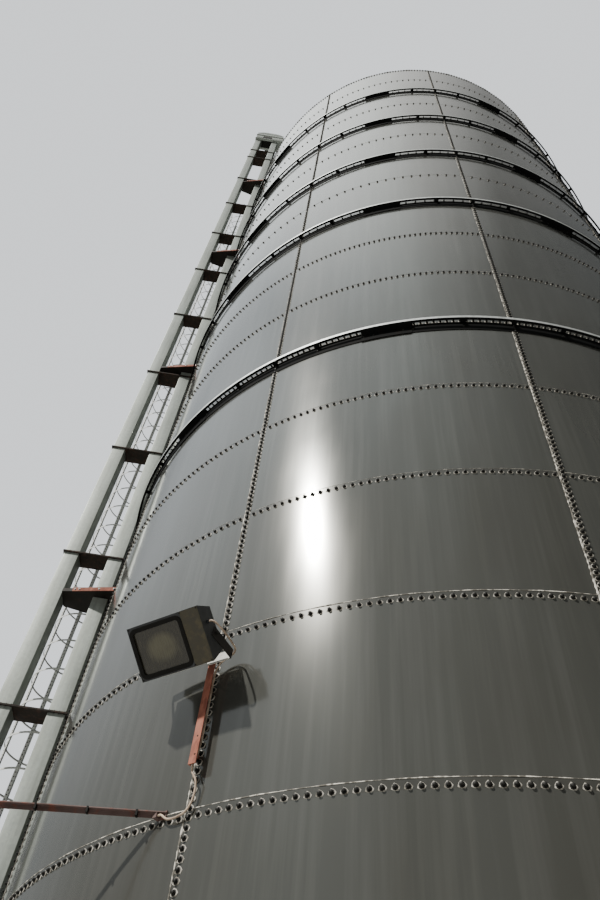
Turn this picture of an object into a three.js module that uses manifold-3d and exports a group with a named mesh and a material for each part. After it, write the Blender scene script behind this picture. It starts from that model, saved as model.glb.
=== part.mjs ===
// Tower feed silo of bolted enamelled steel plates, with a twin-leg bucket elevator, a caged ladder and a floodlight.
// Millimetres, +Z up. The origin is on the silo's axis at ground level, and the elevator stands on the -X side.
import * as THREE from 'three';
import { mergeVertices } from 'three/addons/utils/BufferGeometryUtils.js';
import Module from 'manifold-3d';

const wasm = await Module();
wasm.setup();

const RADIANS = Math.PI / 180;
const GAP = 0.3;

// Silo shell
const RADIUS = 4270;
const WALL_THICKNESS = 8;
const PLATES_AROUND = 10;
const PLATE_ANGLE = 360 / PLATES_AROUND;
const FACETS_PER_PLATE = 10;
const SHELL_SIDES = PLATES_AROUND * FACETS_PER_PLATE;
const FIRST_SEAM_ANGLE = -129.32;
const COURSE_HEIGHT = 1308;
const COURSES = 18;
const WALL_HEIGHT = COURSES * COURSE_HEIGHT;
const FLOOR_THICKNESS = 8;

// Rings bolted round the shell are 50-sided, so each clears the shell's corners at the middle of its own sides.
const RING_SIDES = 50;
const RING_INNER_RADIUS = clearRadius(360 / RING_SIDES);
const STIFFENER_SEAMS = [7, 10, 12, 14, 16];
const STIFFENER = { legHeight: 140, flangeWidth: 70, lipHeight: 60, thickness: 6, belowSeam: 50 };
const BASE_ANGLE = { height: 90, width: 110, thickness: 12 };

// Roof
const ROOF = { overhang: 12, flatRim: 70, thickness: 8, rise: 1150, capRadius: 620 };
const ROOF_CAP = { height: 260, rimWidth: 60, rimHeight: 20 };

// Elevator
const TRUNK = { width: 195, depth: 250 };
const INNER_TRUNK_X = -4513;
const OUTER_TRUNK_X = -5106;
const SECTIONS = 11;
const SECTION_HEIGHT = 2375;
const BOOT_HEIGHT = 1620;
const FLANGE = { overhang: 24, thickness: 8 };
const NECK_HEIGHT = 855;
const HEAD_NECK_TOP = 29950;
const HOOD = { left: -5205, right: -4236, halfDepth: 185, shoulder: 30400, top: 30850, cornerRadius: 330 };
const HOOD_RIB = { overhang: 18, height: 26 };
const SPOUT = { halfDepth: 110, depth: 260, mouthTop: 30300, mouthBottom: 29240, endX: -260 };
const DRIVE = { motorRadius: 120, motorLength: 330, boxSize: 260, boxDepth: 170, z: 30130 };
const BOOT = { overhang: 60, halfDepth: 170, hopperReach: 620, hopperTop: 1180, hopperBottom: 420 };

// Ties between the elevator and the shell
const TIE_LEVELS = [2385, 8035, 13640, 19300];
const TOP_TIE_LEVEL = 24975;
const TIE = {
  thickness: 8, outerHalf: 150, wallHalf: 335, lip: 50, footHeight: 130, footAngle: 5.2, footThickness: 10,
};
const TOP_POST = { size: 50, x: -4215, y: 318 };

// Ladder and cage, fixed to the shell behind the elevator
const LADDER = {
  angle: 172.3, wallGap: 230, width: 460, stileWidth: 60, stileThickness: 12, rungSize: 22, rungPitch: 300,
  bottom: 2400, sections: 2, sectionHeight: 11100, bracketPitch: 2775, bracketSize: 40,
};
const CAGE = {
  radius: 400, centre: 525, strip: 50, thickness: 8, hoopPitch: 430, hoopsPerNode: 25, bottom: 2660, sweep: 250,
  hoopSides: 6, strapAngles: [-90, 0, 90],
};

// Floodlight, its mast, the cable arm and the cable
const LAMP = {
  width: 592, height: 375, depth: 214, taper: 37, bezel: 34, glassWidth: 385, glassHeight: 300, glassBelow: 2.5,
  glassThickness: 8, recess: 14, glandRadius: 13, glandLength: 18, glandAbove: 61, glandBehind: 87,
};
const LAMP_CENTRE = new THREE.Vector3(-3043.6, -3547.8, 4918.6);
const LAMP_OUT = new THREE.Vector3(-0.3934, -0.5126, -0.7632).normalize();
// The yoke's ends are [behind the glass, below the floodlight's middle].
const YOKE = {
  strap: 78, thickness: 6, pivot: [95, 5], bar: [228, 200], seatFar: 97.8, seatBelow: [37, 5], seatInset: 6,
  narrowBy: 25, narrowUntil: 105,
};
const MAST = {
  angle: -129.13, bottom: 4210, top: 4975, width: 57, stand: 84, plate: 7, webDepth: 22, clips: [4270, 4755],
  clipHeight: 60,
};
const CABLE_ARM = {
  start: [-2905, -3164], end: [-4250, -2954], z: 3956, size: 32, plate: 6, footAngle: -132.15, footHalf: 0.45,
  footHeight: 50, footThickness: 8, glandAngle: -132.5, glandSize: 30, glandFar: 44, cableStand: 28, cableZ: 3965,
};
const CABLE_RADIUS = 7;
const CABLE_SIDES = 8;
const CABLE_STEPS = 56;

// The cable hangs from the floodlight to the arm: [angle round the shell, distance off the shell, height].
const CABLE_ROUTE = [
  [-126.47, 380, 5012], [-126.2, 352, 4990], [-126.05, 300, 4975], [-126.1, 235, 4975], [-126.3, 165, 4985],
  [-126.52, 105, 4992], [-126.82, 76, 4991], [-127.2, 60, 4988], [-127.8, 51, 4980], [-128.5, 46, 4960],
  [-128.9, 44, 4915], [-129, 44, 4840], [-129, 44, 4660], [-129, 44, 4480], [-129.05, 45, 4350],
  [-129.22, 46, 4270], [-129.42, 46, 4224], [-129.34, 47, 4181], [-129.08, 45, 4150], [-128.86, 40, 4118],
  [-128.83, 32, 4065], [-128.98, 30, 3997], [-129.4, 30, 3947], [-130.2, 30, 3924], [-131.2, 30, 3926],
];

const FINISH = {
  enamel: { color: 0x5f625e, roughness: 0.25, metalness: 0.3 },
  ringSteel: { color: 0x24282a, roughness: 0.4, metalness: 0.4 },
  roofSteel: { color: 0x8d9290, roughness: 0.45, metalness: 0.4 },
  elevatorPaint: { color: 0xa3aba8, roughness: 0.55, metalness: 0.2 },
  galvanised: { color: 0xb9bcba, roughness: 0.5, metalness: 0.6 },
  darkSteel: { color: 0x2b2d2b, roughness: 0.6, metalness: 0.3 },
  rustySteel: { color: 0x6f4636, roughness: 0.85, metalness: 0.1 },
  lampHousing: { color: 0x4a4d4e, roughness: 0.6, metalness: 0.3 },
  lampGlass: { color: 0x4f4b3a, roughness: 0.2, metalness: 0.0 },
  cable: { color: 0xc9b9a2, roughness: 0.7, metalness: 0.0 },
};

/** Turns a closed geometry into a solid for joining and cutting. */
function solid(geometry) {
  const bare = geometry.clone();
  bare.deleteAttribute('normal');
  bare.deleteAttribute('uv');
  const merged = mergeVertices(bare, 1e-3);
  return new wasm.Manifold(new wasm.Mesh({
    numProp: 3,
    vertProperties: new Float32Array(merged.attributes.position.array),
    triVerts: new Uint32Array(merged.index.array),
  }));
}

/** Gives a solid's faces back as a geometry. */
function geometryOf(body) {
  const mesh = body.getMesh();
  const geometry = new THREE.BufferGeometry();
  geometry.setAttribute('position', new THREE.BufferAttribute(mesh.vertProperties.slice(), 3));
  geometry.setIndex(new THREE.BufferAttribute(mesh.triVerts.slice(), 1));
  geometry.computeVertexNormals();
  return geometry;
}

function join(geometries) {
  return geometries.map(solid).reduce((whole, piece) => whole.add(piece));
}

function box(x0, x1, y0, y1, z0, z1) {
  return new THREE.BoxGeometry(x1 - x0, y1 - y0, z1 - z0).translate((x0 + x1) / 2, (y0 + y1) / 2, (z0 + z1) / 2);
}

function polar(radius, degrees) {
  return new THREE.Vector2(radius * Math.cos(degrees * RADIANS), radius * Math.sin(degrees * RADIANS));
}

/** Extrudes an outline in the XY plane from z0 to z1. */
function prism(outline, z0, z1) {
  return new THREE.ExtrudeGeometry(new THREE.Shape(outline), { depth: z1 - z0, bevelEnabled: false })
    .translate(0, 0, z0);
}

/** Extrudes an outline in the XZ plane between two values of y. */
function prismAlongY(outline, y0, y1) {
  const shape = new THREE.Shape(outline.map(([x, z]) => new THREE.Vector2(x, z)));
  return new THREE.ExtrudeGeometry(shape, { depth: y1 - y0, bevelEnabled: false })
    .rotateX(Math.PI / 2).translate(0, y1, 0);
}

function arcPoints(radius, from, to, steps) {
  return Array.from({ length: steps + 1 }, (_, i) => polar(radius, from + (to - from) * i / steps));
}

/** The radius of an arc's corners at which its straight steps just clear the shell. */
function clearRadius(stepAngle) {
  return RADIUS / Math.cos(stepAngle / 2 * RADIANS) + GAP;
}

/** A curved plate between two radii and two angles. */
function curvedPlate(innerRadius, outerRadius, from, to, steps, z0, z1) {
  const outer = arcPoints(outerRadius, from, to, steps);
  const inner = arcPoints(innerRadius, from, to, steps).reverse();
  return prism([...outer, ...inner], z0, z1);
}

/** Revolves a profile of [radius, z] points that starts and ends on the silo's axis, with a corner at each seam. */
function revolveDisc(profile, sides) {
  const points = profile.map(([radius, z]) => new THREE.Vector2(radius, z));
  return new THREE.LatheGeometry(points, sides).rotateX(Math.PI / 2).rotateZ((FIRST_SEAM_ANGLE + 90) * RADIANS);
}

/** Revolves a closed profile round the silo's axis. */
function revolve(profile, sides) {
  return revolveDisc([...profile, profile[0]], sides);
}

/** The space that the shell fills, with a gap round it, between two heights. */
function shellSpace(z0, z1) {
  const corner = RADIUS + GAP / Math.cos(Math.PI / SHELL_SIDES);
  return solid(revolveDisc([[0, z0], [corner, z0], [corner, z1], [0, z1]], SHELL_SIDES));
}

const silo = new THREE.Group();

function add(name, body, finish, parent = silo) {
  const geometry = body.isBufferGeometry ? geometryOf(solid(body)) : geometryOf(body);
  const mesh = new THREE.Mesh(geometry, new THREE.MeshStandardMaterial(FINISH[finish]));
  mesh.name = name;
  parent.add(mesh);
  return mesh;
}

function addShell() {
  const seamGap = GAP / RADIUS / RADIANS / 2;
  for (let plate = 0; plate < PLATES_AROUND; plate += 1) {
    const from = FIRST_SEAM_ANGLE + plate * PLATE_ANGLE;
    const stave = curvedPlate(
      RADIUS - WALL_THICKNESS, RADIUS, from + seamGap, from + PLATE_ANGLE - seamGap, FACETS_PER_PLATE, 0, WALL_HEIGHT,
    );
    add(`wall_stave_${String(plate + 1).padStart(2, '0')}`, stave, 'enamel');
  }
  const floorRadius = RADIUS - WALL_THICKNESS - GAP / Math.cos(Math.PI / SHELL_SIDES);
  add('floor_plate', revolveDisc([[0, 0], [floorRadius, 0], [floorRadius, FLOOR_THICKNESS], [0, FLOOR_THICKNESS]],
    SHELL_SIDES), 'enamel');
  const { height, width, thickness } = BASE_ANGLE;
  add('base_angle_ring', revolve([
    [RING_INNER_RADIUS, 0], [RING_INNER_RADIUS + width, 0], [RING_INNER_RADIUS + width, thickness],
    [RING_INNER_RADIUS + thickness, thickness], [RING_INNER_RADIUS + thickness, height], [RING_INNER_RADIUS, height],
  ], RING_SIDES), 'galvanised');
}

/** Rings with an upright leg on the wall, a flat flange and an upturned lip along the flange's outer edge. */
function addStiffeners() {
  const { legHeight, flangeWidth, lipHeight, thickness, belowSeam } = STIFFENER;
  const inner = RING_INNER_RADIUS;
  const outer = inner + flangeWidth;
  STIFFENER_SEAMS.forEach((seam, index) => {
    const flange = seam * COURSE_HEIGHT - belowSeam;
    const low = flange - legHeight;
    const lip = flange + lipHeight;
    add(`stiffener_ring_${index + 1}`, revolve([
      [inner, low], [inner + thickness, low], [inner + thickness, flange - thickness], [outer, flange - thickness],
      [outer, lip], [outer - thickness, lip], [outer - thickness, flange], [inner, flange],
    ], RING_SIDES), 'ringSteel');
  });
}

function addRoof() {
  const { overhang, flatRim, thickness, rise, capRadius } = ROOF;
  const eave = WALL_HEIGHT + GAP;
  add('roof_cone', revolve([
    [RADIUS + overhang, eave], [RADIUS + overhang, eave + thickness], [RADIUS - flatRim, eave + thickness],
    [capRadius, eave + rise + thickness], [capRadius - 80, eave + rise + thickness], [capRadius - 80, eave + rise],
    [capRadius, eave + rise], [RADIUS - flatRim, eave],
  ], RING_SIDES), 'roofSteel');
  const low = eave + rise + thickness + GAP;
  const { height, rimWidth, rimHeight } = ROOF_CAP;
  add('roof_cap', revolveDisc([
    [0, low], [capRadius - 20, low], [capRadius - 20, low + rimHeight], [capRadius - 20 - rimWidth, low + rimHeight],
    [capRadius - 20 - rimWidth, low + height], [0, low + height],
  ], 24), 'roofSteel');
  return low + height;
}

/** Both closed trunks of one elevator length, with a flange plate across each end. */
function trunkSection(z0, z1) {
  const halfWidth = TRUNK.width / 2;
  const halfDepth = TRUNK.depth / 2;
  const plateLeft = OUTER_TRUNK_X - halfWidth - FLANGE.overhang;
  const plateRight = INNER_TRUNK_X + halfWidth + FLANGE.overhang;
  const plateHalf = halfDepth + FLANGE.overhang;
  const plates = [[z0, z0 + FLANGE.thickness], [z1 - FLANGE.thickness, z1]]
    .map(([low, high]) => box(plateLeft, plateRight, -plateHalf, plateHalf, low, high));
  const trunks = [OUTER_TRUNK_X, INNER_TRUNK_X]
    .map((x) => box(x - halfWidth, x + halfWidth, -halfDepth, halfDepth, z0, z1));
  return join([...plates, ...trunks]);
}

function addElevator() {
  for (let index = 0; index < SECTIONS; index += 1) {
    const z0 = BOOT_HEIGHT + index * SECTION_HEIGHT;
    add(`elevator_section_${String(index + 1).padStart(2, '0')}`,
      trunkSection(z0 + GAP, z0 + SECTION_HEIGHT), 'elevatorPaint');
  }
  const neckBottom = BOOT_HEIGHT + SECTIONS * SECTION_HEIGHT;
  const neckTop = neckBottom + NECK_HEIGHT;
  add('elevator_neck', trunkSection(neckBottom + GAP, neckTop), 'elevatorPaint');
  add('elevator_head', trunkSection(neckTop + GAP, HEAD_NECK_TOP), 'elevatorPaint');
}

function hoodOutline(grow, low, high) {
  const { left, right, top, shoulder, cornerRadius } = HOOD;
  if (high <= shoulder) {
    return [[left - grow, low], [right + grow, low], [right + grow, high], [left - grow, high]];
  }
  const corner = (x, from) => Array.from({ length: 5 }, (_, i) => {
    const turn = (from + i * 22.5) * RADIANS;
    return [x + cornerRadius * Math.cos(turn), top - cornerRadius + cornerRadius * Math.sin(turn)];
  });
  return [[left, low], [right, low], ...corner(right - cornerRadius, 0), ...corner(left + cornerRadius, 90)];
}

function addHead() {
  const { halfDepth, left, right, shoulder } = HOOD;
  const low = HEAD_NECK_TOP + GAP;
  const { overhang, height } = HOOD_RIB;
  const ribs = [low, shoulder - height / 2].map((z) => box(
    left - overhang, right + overhang, -halfDepth - overhang, halfDepth + overhang, z, z + height,
  ));
  add('head_hood', join([prismAlongY(hoodOutline(0, low, HOOD.top), -halfDepth, halfDepth), ...ribs]), 'elevatorPaint');

  const { motorRadius, motorLength, boxSize, boxDepth, z } = DRIVE;
  const driveX = (left + right) / 2;
  const face = halfDepth + GAP;
  const motor = new THREE.CylinderGeometry(motorRadius, motorRadius, motorLength, 16)
    .translate(driveX, face + boxDepth + motorLength / 2 - 5, z);
  const gearbox = box(
    driveX - boxSize / 2, driveX + boxSize / 2, face, face + boxDepth, z - boxSize / 2, z + boxSize / 2,
  );
  add('drive_motor', join([gearbox, motor]), 'darkSteel');
}

function addSpout(roofCapTop) {
  const { halfDepth, depth, mouthTop, mouthBottom, endX } = SPOUT;
  const startX = HOOD.right + HOOD_RIB.overhang + GAP;
  const reach = 170;
  const endLow = roofCapTop + GAP;
  add('discharge_spout', prismAlongY([
    [startX, mouthBottom], [endX - depth, endLow + 260], [endX - depth, endLow], [endX, endLow], [endX, endLow + 420],
    [startX + reach, mouthBottom + depth + 60], [startX + reach, mouthTop - 80], [startX, mouthTop - 80],
  ], -halfDepth, halfDepth), 'elevatorPaint');
}

function addBoot() {
  const { overhang, halfDepth, hopperReach, hopperTop, hopperBottom } = BOOT;
  const left = OUTER_TRUNK_X - TRUNK.width / 2 - overhang;
  const right = -RADIUS - BASE_ANGLE.width - 30;
  add('elevator_boot', box(left, right, -halfDepth, halfDepth, 0, BOOT_HEIGHT), 'elevatorPaint');
  const face = left - GAP;
  const wall = 6;
  const outer = prismAlongY([
    [face, hopperBottom], [face, hopperTop], [face - hopperReach, hopperTop], [face - hopperReach, hopperTop - 120],
    [face - 120, hopperBottom],
  ].reverse(), -halfDepth, halfDepth);
  const inner = prismAlongY([
    [face - wall, hopperBottom + wall], [face - wall, hopperTop + 1], [face - hopperReach + wall, hopperTop + 1],
    [face - hopperReach + wall, hopperTop - 116], [face - 116, hopperBottom + wall],
  ].reverse(), -halfDepth + wall, halfDepth - wall);
  add('intake_hopper', solid(outer).subtract(solid(inner)), 'elevatorPaint');
}

/** The hole that the inner trunk passes through in a tie plate. */
function trunkHole(level) {
  const halfWidth = TRUNK.width / 2 + GAP;
  const halfDepth = TRUNK.depth / 2 + GAP;
  return solid(box(
    INNER_TRUNK_X - halfWidth, INNER_TRUNK_X + halfWidth, -halfDepth, halfDepth, level - 1, level + TIE.thickness + 1,
  ));
}

/** An angle's upright leg along a sloping edge of a tie plate, from its outer corner nearly to the shell. */
function edgeLip(outerCorner, wallCorner, z0, z1) {
  const along = new THREE.Vector2().subVectors(wallCorner, outerCorner).normalize();
  const end = wallCorner.clone().addScaledVector(along, -TIE.thickness / 2);
  const inward = new THREE.Vector2(-along.y, along.x).multiplyScalar(-TIE.thickness * Math.sign(outerCorner.y));
  return prism([outerCorner, end, end.clone().add(inward), outerCorner.clone().add(inward)], z0, z1);
}

/** A tie plate from the outer trunk's face to a wall edge, with the inner trunk passing through it. */
function tiePlate(level, wallEdge) {
  const { thickness, outerHalf, lip } = TIE;
  const outerX = OUTER_TRUNK_X + TRUNK.width / 2 + GAP;
  const outline = [new THREE.Vector2(outerX, outerHalf), new THREE.Vector2(outerX, -outerHalf), ...wallEdge];
  const first = wallEdge[0];
  const last = wallEdge[wallEdge.length - 1];
  return join([
    prism(outline, level, level + thickness),
    edgeLip(outline[1], first, level, level + lip),
    edgeLip(outline[0], last, level, level + lip),
  ]).subtract(trunkHole(level));
}

function addTies() {
  const { wallHalf, thickness, footHeight, footAngle, footThickness } = TIE;
  const inside = -RADIUS + 60;
  const wallEdge = [new THREE.Vector2(inside, -wallHalf), new THREE.Vector2(inside, wallHalf)];
  TIE_LEVELS.forEach((level, index) => {
    const foot = curvedPlate(RADIUS - footThickness, RADIUS + footThickness, 180 - footAngle, 180 + footAngle, 4,
      level - footHeight / 2, level + footHeight / 2);
    const shell = shellSpace(level - footHeight, level + footHeight);
    add(`elevator_tie_${index + 1}`, tiePlate(level, wallEdge).add(solid(foot)).subtract(shell), 'darkSteel');
  });
  const { size, x, y } = TOP_POST;
  const topEdge = [new THREE.Vector2(x + size / 2, -wallHalf - 10), new THREE.Vector2(x + size / 2, wallHalf + 10)];
  const rim = WALL_HEIGHT + 2 * GAP + ROOF.thickness;
  const posts = [-y, y].map((centre) => box(
    x - size / 2, x + size / 2, centre - size / 2, centre + size / 2, rim, TOP_TIE_LEVEL + thickness,
  ));
  add('elevator_tie_5', tiePlate(TOP_TIE_LEVEL, topEdge).add(join(posts)), 'darkSteel');
}

/** A frame on the wall: x runs outwards, y along the wall, z up. */
function wallFrame(angle) {
  const group = new THREE.Group();
  group.rotation.z = angle * RADIANS;
  silo.add(group);
  return group;
}

function addLadder() {
  const frame = wallFrame(LADDER.angle);
  const { wallGap, width, stileWidth, stileThickness, rungSize, rungPitch, bracketPitch, bracketSize } = LADDER;
  const x = RADIUS + wallGap;
  for (let index = 0; index < LADDER.sections; index += 1) {
    const low = LADDER.bottom + index * LADDER.sectionHeight + GAP;
    const high = LADDER.bottom + (index + 1) * LADDER.sectionHeight;
    const pieces = [-1, 1].map((side) => {
      const inside = side * width / 2;
      const outside = inside + side * stileThickness;
      return box(x, x + stileWidth, Math.min(inside, outside), Math.max(inside, outside), low, high);
    });
    for (let z = low + rungPitch / 2; z < high; z += rungPitch) {
      const centre = x + stileWidth / 2;
      pieces.push(box(centre - rungSize / 2, centre + rungSize / 2, -width / 2 - 4, width / 2 + 4, z, z + rungSize));
    }
    for (let z = low + bracketPitch / 2; z < high; z += bracketPitch) {
      for (const side of [-1, 1]) {
        const inside = side * (width / 2 + stileThickness - 4);
        const outside = inside + side * bracketSize;
        pieces.push(box(RADIUS - bracketSize, x + stileWidth - 8, Math.min(inside, outside),
          Math.max(inside, outside), z, z + bracketSize));
      }
    }
    const shell = shellSpace(low, high).rotate([0, 0, -LADDER.angle]);
    add(`ladder_${index + 1}`, join(pieces).subtract(shell), 'galvanised', frame);
  }
}

/** One hoop: a strip bent round the climber, ending at both stiles. */
function hoopOutline(centre) {
  const { radius, thickness, sweep, hoopSides } = CAGE;
  const point = (r, i) => {
    const turn = (-sweep / 2 + sweep * i / hoopSides) * RADIANS;
    return new THREE.Vector2(centre + r * Math.cos(turn), r * Math.sin(turn));
  };
  const steps = Array.from({ length: hoopSides + 1 }, (_, i) => i);
  const stileX = RADIUS + LADDER.wallGap + LADDER.stileWidth + GAP;
  const stileY = LADDER.width / 2 + LADDER.stileThickness;
  const foot = (side, inset) => new THREE.Vector2(stileX, side * (stileY - inset));
  return [
    foot(-1, 0), ...steps.map((i) => point(radius, i)), foot(1, 0), foot(1, thickness),
    ...steps.reverse().map((i) => point(radius - thickness, i)), foot(-1, thickness),
  ];
}

function addCage() {
  const frame = wallFrame(LADDER.angle);
  const { radius, centre, strip, thickness, hoopPitch, hoopsPerNode, bottom, strapAngles } = CAGE;
  const centreX = RADIUS + centre;
  for (let node = 0; node < 2; node += 1) {
    const low = bottom + node * hoopsPerNode * hoopPitch + GAP;
    const high = bottom + (node + 1) * hoopsPerNode * hoopPitch;
    const pieces = [];
    for (let hoop = 0; hoop < hoopsPerNode; hoop += 1) {
      const z = low + hoopPitch / 2 + hoop * hoopPitch;
      pieces.push(prism(hoopOutline(centreX), z - strip / 2, z + strip / 2));
    }
    for (const angle of strapAngles) {
      pieces.push(box(radius - thickness - 6, radius - thickness + 2, -strip / 2, strip / 2, low, high)
        .rotateZ(angle * RADIANS).translate(centreX, 0, 0));
    }
    add(`ladder_cage_${node + 1}`, join(pieces), 'galvanised', frame);
  }
}

/** The floodlight's own frame: x along its long side, y up its face, z out of its glass. */
function lampMatrix() {
  const across = new THREE.Vector3().crossVectors(new THREE.Vector3(0, 0, 1), LAMP_OUT).normalize();
  const up = new THREE.Vector3().crossVectors(LAMP_OUT, across).normalize();
  return new THREE.Matrix4().makeBasis(across, up, LAMP_OUT).setPosition(LAMP_CENTRE);
}

/** The floodlight's body, whose four sides slope in towards its back. */
function taperedHousing() {
  const { width, height, depth, taper } = LAMP;
  const body = new THREE.BoxGeometry(width, height, depth).translate(0, 0, -depth / 2);
  const corner = body.attributes.position;
  for (let i = 0; i < corner.count; i += 1) {
    if (corner.getZ(i) < -depth / 2) {
      corner.setX(i, corner.getX(i) - Math.sign(corner.getX(i)) * taper);
      corner.setY(i, corner.getY(i) - Math.sign(corner.getY(i)) * taper);
    }
  }
  return body;
}

/** How far across the floodlight's frame the cable gland's tip is, on the housing's sloping side. */
function glandTip() {
  const { width, depth, taper, glandBehind, glandLength } = LAMP;
  return width / 2 - taper * glandBehind / depth + glandLength;
}

function addLamp() {
  const frame = new THREE.Group();
  frame.applyMatrix4(lampMatrix());
  silo.add(frame);

  const { width, bezel, glassWidth, glassHeight, glassBelow, glassThickness, recess } = LAMP;
  const left = -width / 2 + bezel;
  const right = left + glassWidth;
  const low = -glassBelow - glassHeight / 2;
  const high = low + glassHeight;
  const { glandRadius, glandLength, glandAbove, glandBehind } = LAMP;
  const rooted = glandLength + 10;
  const gland = new THREE.CylinderGeometry(glandRadius, glandRadius, rooted, 16)
    .rotateZ(Math.PI / 2).translate(glandTip() - rooted / 2, glandAbove, -glandBehind);
  const pocket = solid(box(left, right, low, high, -recess, 1));
  add('lamp_housing', join([taperedHousing(), gland]).subtract(pocket), 'lampHousing', frame);
  add('lamp_glass', box(
    left + GAP, right - GAP, low + GAP, high - GAP, -recess + GAP, -recess + GAP + glassThickness,
  ), 'lampGlass', frame);
}

function addMast() {
  const frame = wallFrame(MAST.angle);
  const { bottom, top, width, stand, plate, webDepth, clipHeight } = MAST;
  const half = width / 2;
  const far = RADIUS + stand;
  const web = box(far - webDepth, far, -half, -half + plate, bottom, top);
  const face = box(far - plate, far, -half, half, bottom, top);
  const clips = MAST.clips.map((z) => box(RADIUS - clipHeight, far - 1, -half, -half + plate, z, z + clipHeight));
  const shell = shellSpace(bottom, top).rotate([0, 0, -MAST.angle]);
  add('lamp_mast', join([web, face, ...clips]).subtract(shell), 'rustySteel', frame);
}

/** A plate of the yoke's width, or less, between two points of the floodlight's side view, from one x to another. */
function yokePlate(from, to, x0, x1, less = 0) {
  const along = new THREE.Vector2().subVectors(to, from).normalize();
  const aside = new THREE.Vector2(-along.y, along.x);
  const half = YOKE.strap / 2;
  const corners = [[from, half - less], [to, half - less], [to, -half], [from, -half]]
    .map(([end, far]) => end.clone().addScaledVector(aside, far));
  const outline = new THREE.Shape(corners.map(({ x: behind, y: below }) => new THREE.Vector2(-below, -behind)));
  return new THREE.ExtrudeGeometry(outline, { depth: x1 - x0, bevelEnabled: false })
    .applyMatrix4(new THREE.Matrix4().set(0, 0, 1, x0, 1, 0, 0, 0, 0, 1, 0, 0, 0, 0, 0, 1));
}

/** A strap bent under the back of the floodlight, narrower on the far side, with a block that seats it on the mast. */
function addYoke() {
  const { thickness, pivot, bar, seatFar, seatBelow, seatInset, narrowBy, narrowUntil } = YOKE;
  const start = new THREE.Vector2(...pivot);
  const end = new THREE.Vector2(...bar);
  const back = end.clone().addScaledVector(end.clone().sub(start).normalize(), thickness);
  const inside = LAMP.width / 2 + GAP;
  const outside = inside + thickness;
  const bent = [
    yokePlate(start, back, inside, outside), yokePlate(start, back, -outside, -inside, narrowBy),
    yokePlate(end, back, narrowUntil, outside), yokePlate(end, back, -outside, outside, narrowBy),
  ].map((piece) => piece.applyMatrix4(lampMatrix()));

  const { angle, width, stand, top } = MAST;
  const half = width / 2 - seatInset;
  const block = box(RADIUS + stand + GAP, RADIUS + seatFar, -half, half, top - seatBelow[0], top - seatBelow[1])
    .rotateZ(angle * RADIANS);
  add('lamp_yoke', join([...bent, block]), 'darkSteel');
}

/** The arm's foot is curved to the shell, and its root is cut to the same curve. */
function addCableArm() {
  const { start, end, z, size, plate, footAngle, footHalf, footHeight, footThickness } = CABLE_ARM;
  const from = new THREE.Vector2(...start);
  const to = new THREE.Vector2(...end);
  const length = from.distanceTo(to);
  const turn = Math.atan2(to.y - from.y, to.x - from.x);
  const bars = [box(-60, length, -plate, 0, 0, size), box(-60, length, -plate, size - plate, size - plate, size)]
    .map((bar) => bar.rotateZ(turn).translate(from.x, from.y, z));

  const middle = z + size / 2;
  const foot = curvedPlate(RADIUS - footThickness, RADIUS + footThickness, footAngle - footHalf,
    footAngle + footHalf, 4, middle - footHeight / 2, middle + footHeight / 2);

  const { glandAngle, glandSize, glandFar, cableZ } = CABLE_ARM;
  const gland = box(
    RADIUS + 2, RADIUS + glandFar, -glandSize / 2, glandSize / 2, cableZ - glandSize / 2, cableZ + glandSize / 2,
  ).rotateZ(glandAngle * RADIANS);
  const shell = shellSpace(middle - footHeight, middle + footHeight);
  add('cable_arm', join([...bars, gland, foot]).subtract(shell), 'rustySteel');
}

/** The floodlight's cable, in one smooth curve from its gland to the gland at the arm's foot. */
function addCable() {
  const exit = new THREE.Vector3(glandTip() + GAP, LAMP.glandAbove, -LAMP.glandBehind);
  const start = [exit, exit.clone().add(new THREE.Vector3(14, 0, 0))].map((point) => point.applyMatrix4(lampMatrix()));
  const middle = CABLE_ROUTE.map(([angle, stand, z]) => {
    const place = polar(RADIUS + stand, angle);
    return new THREE.Vector3(place.x, place.y, z);
  });
  const { glandAngle, glandSize, cableStand, cableZ } = CABLE_ARM;
  const end = [glandSize / 2 + 20, glandSize / 2 + GAP].map((aside) => new THREE.Vector3(
    RADIUS + cableStand, aside, cableZ,
  ).applyAxisAngle(new THREE.Vector3(0, 0, 1), glandAngle * RADIANS));
  const curve = new THREE.CatmullRomCurve3([...start, ...middle, ...end], false, 'centripetal');
  const section = new THREE.Shape(Array.from({ length: CABLE_SIDES }, (_, i) => polar(
    CABLE_RADIUS, i * 360 / CABLE_SIDES,
  )));
  add('lamp_cable', new THREE.ExtrudeGeometry(section, { extrudePath: curve, steps: CABLE_STEPS }), 'cable');
}

addShell();
addStiffeners();
const roofCapTop = addRoof();
addElevator();
addHead();
addSpout(roofCapTop);
addBoot();
addTies();
addLadder();
addCage();
addLamp();
addMast();
addYoke();
addCableArm();
addCable();

export default silo;
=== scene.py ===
"""Looks of the tower feed silo: plates, laps, bolts, rings, elevator casings, cage and floodlight."""

import logging
import math
from dataclasses import dataclass, field
from enum import Enum

import bpy
import numpy as np
from mathutils import Matrix, Vector


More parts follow.
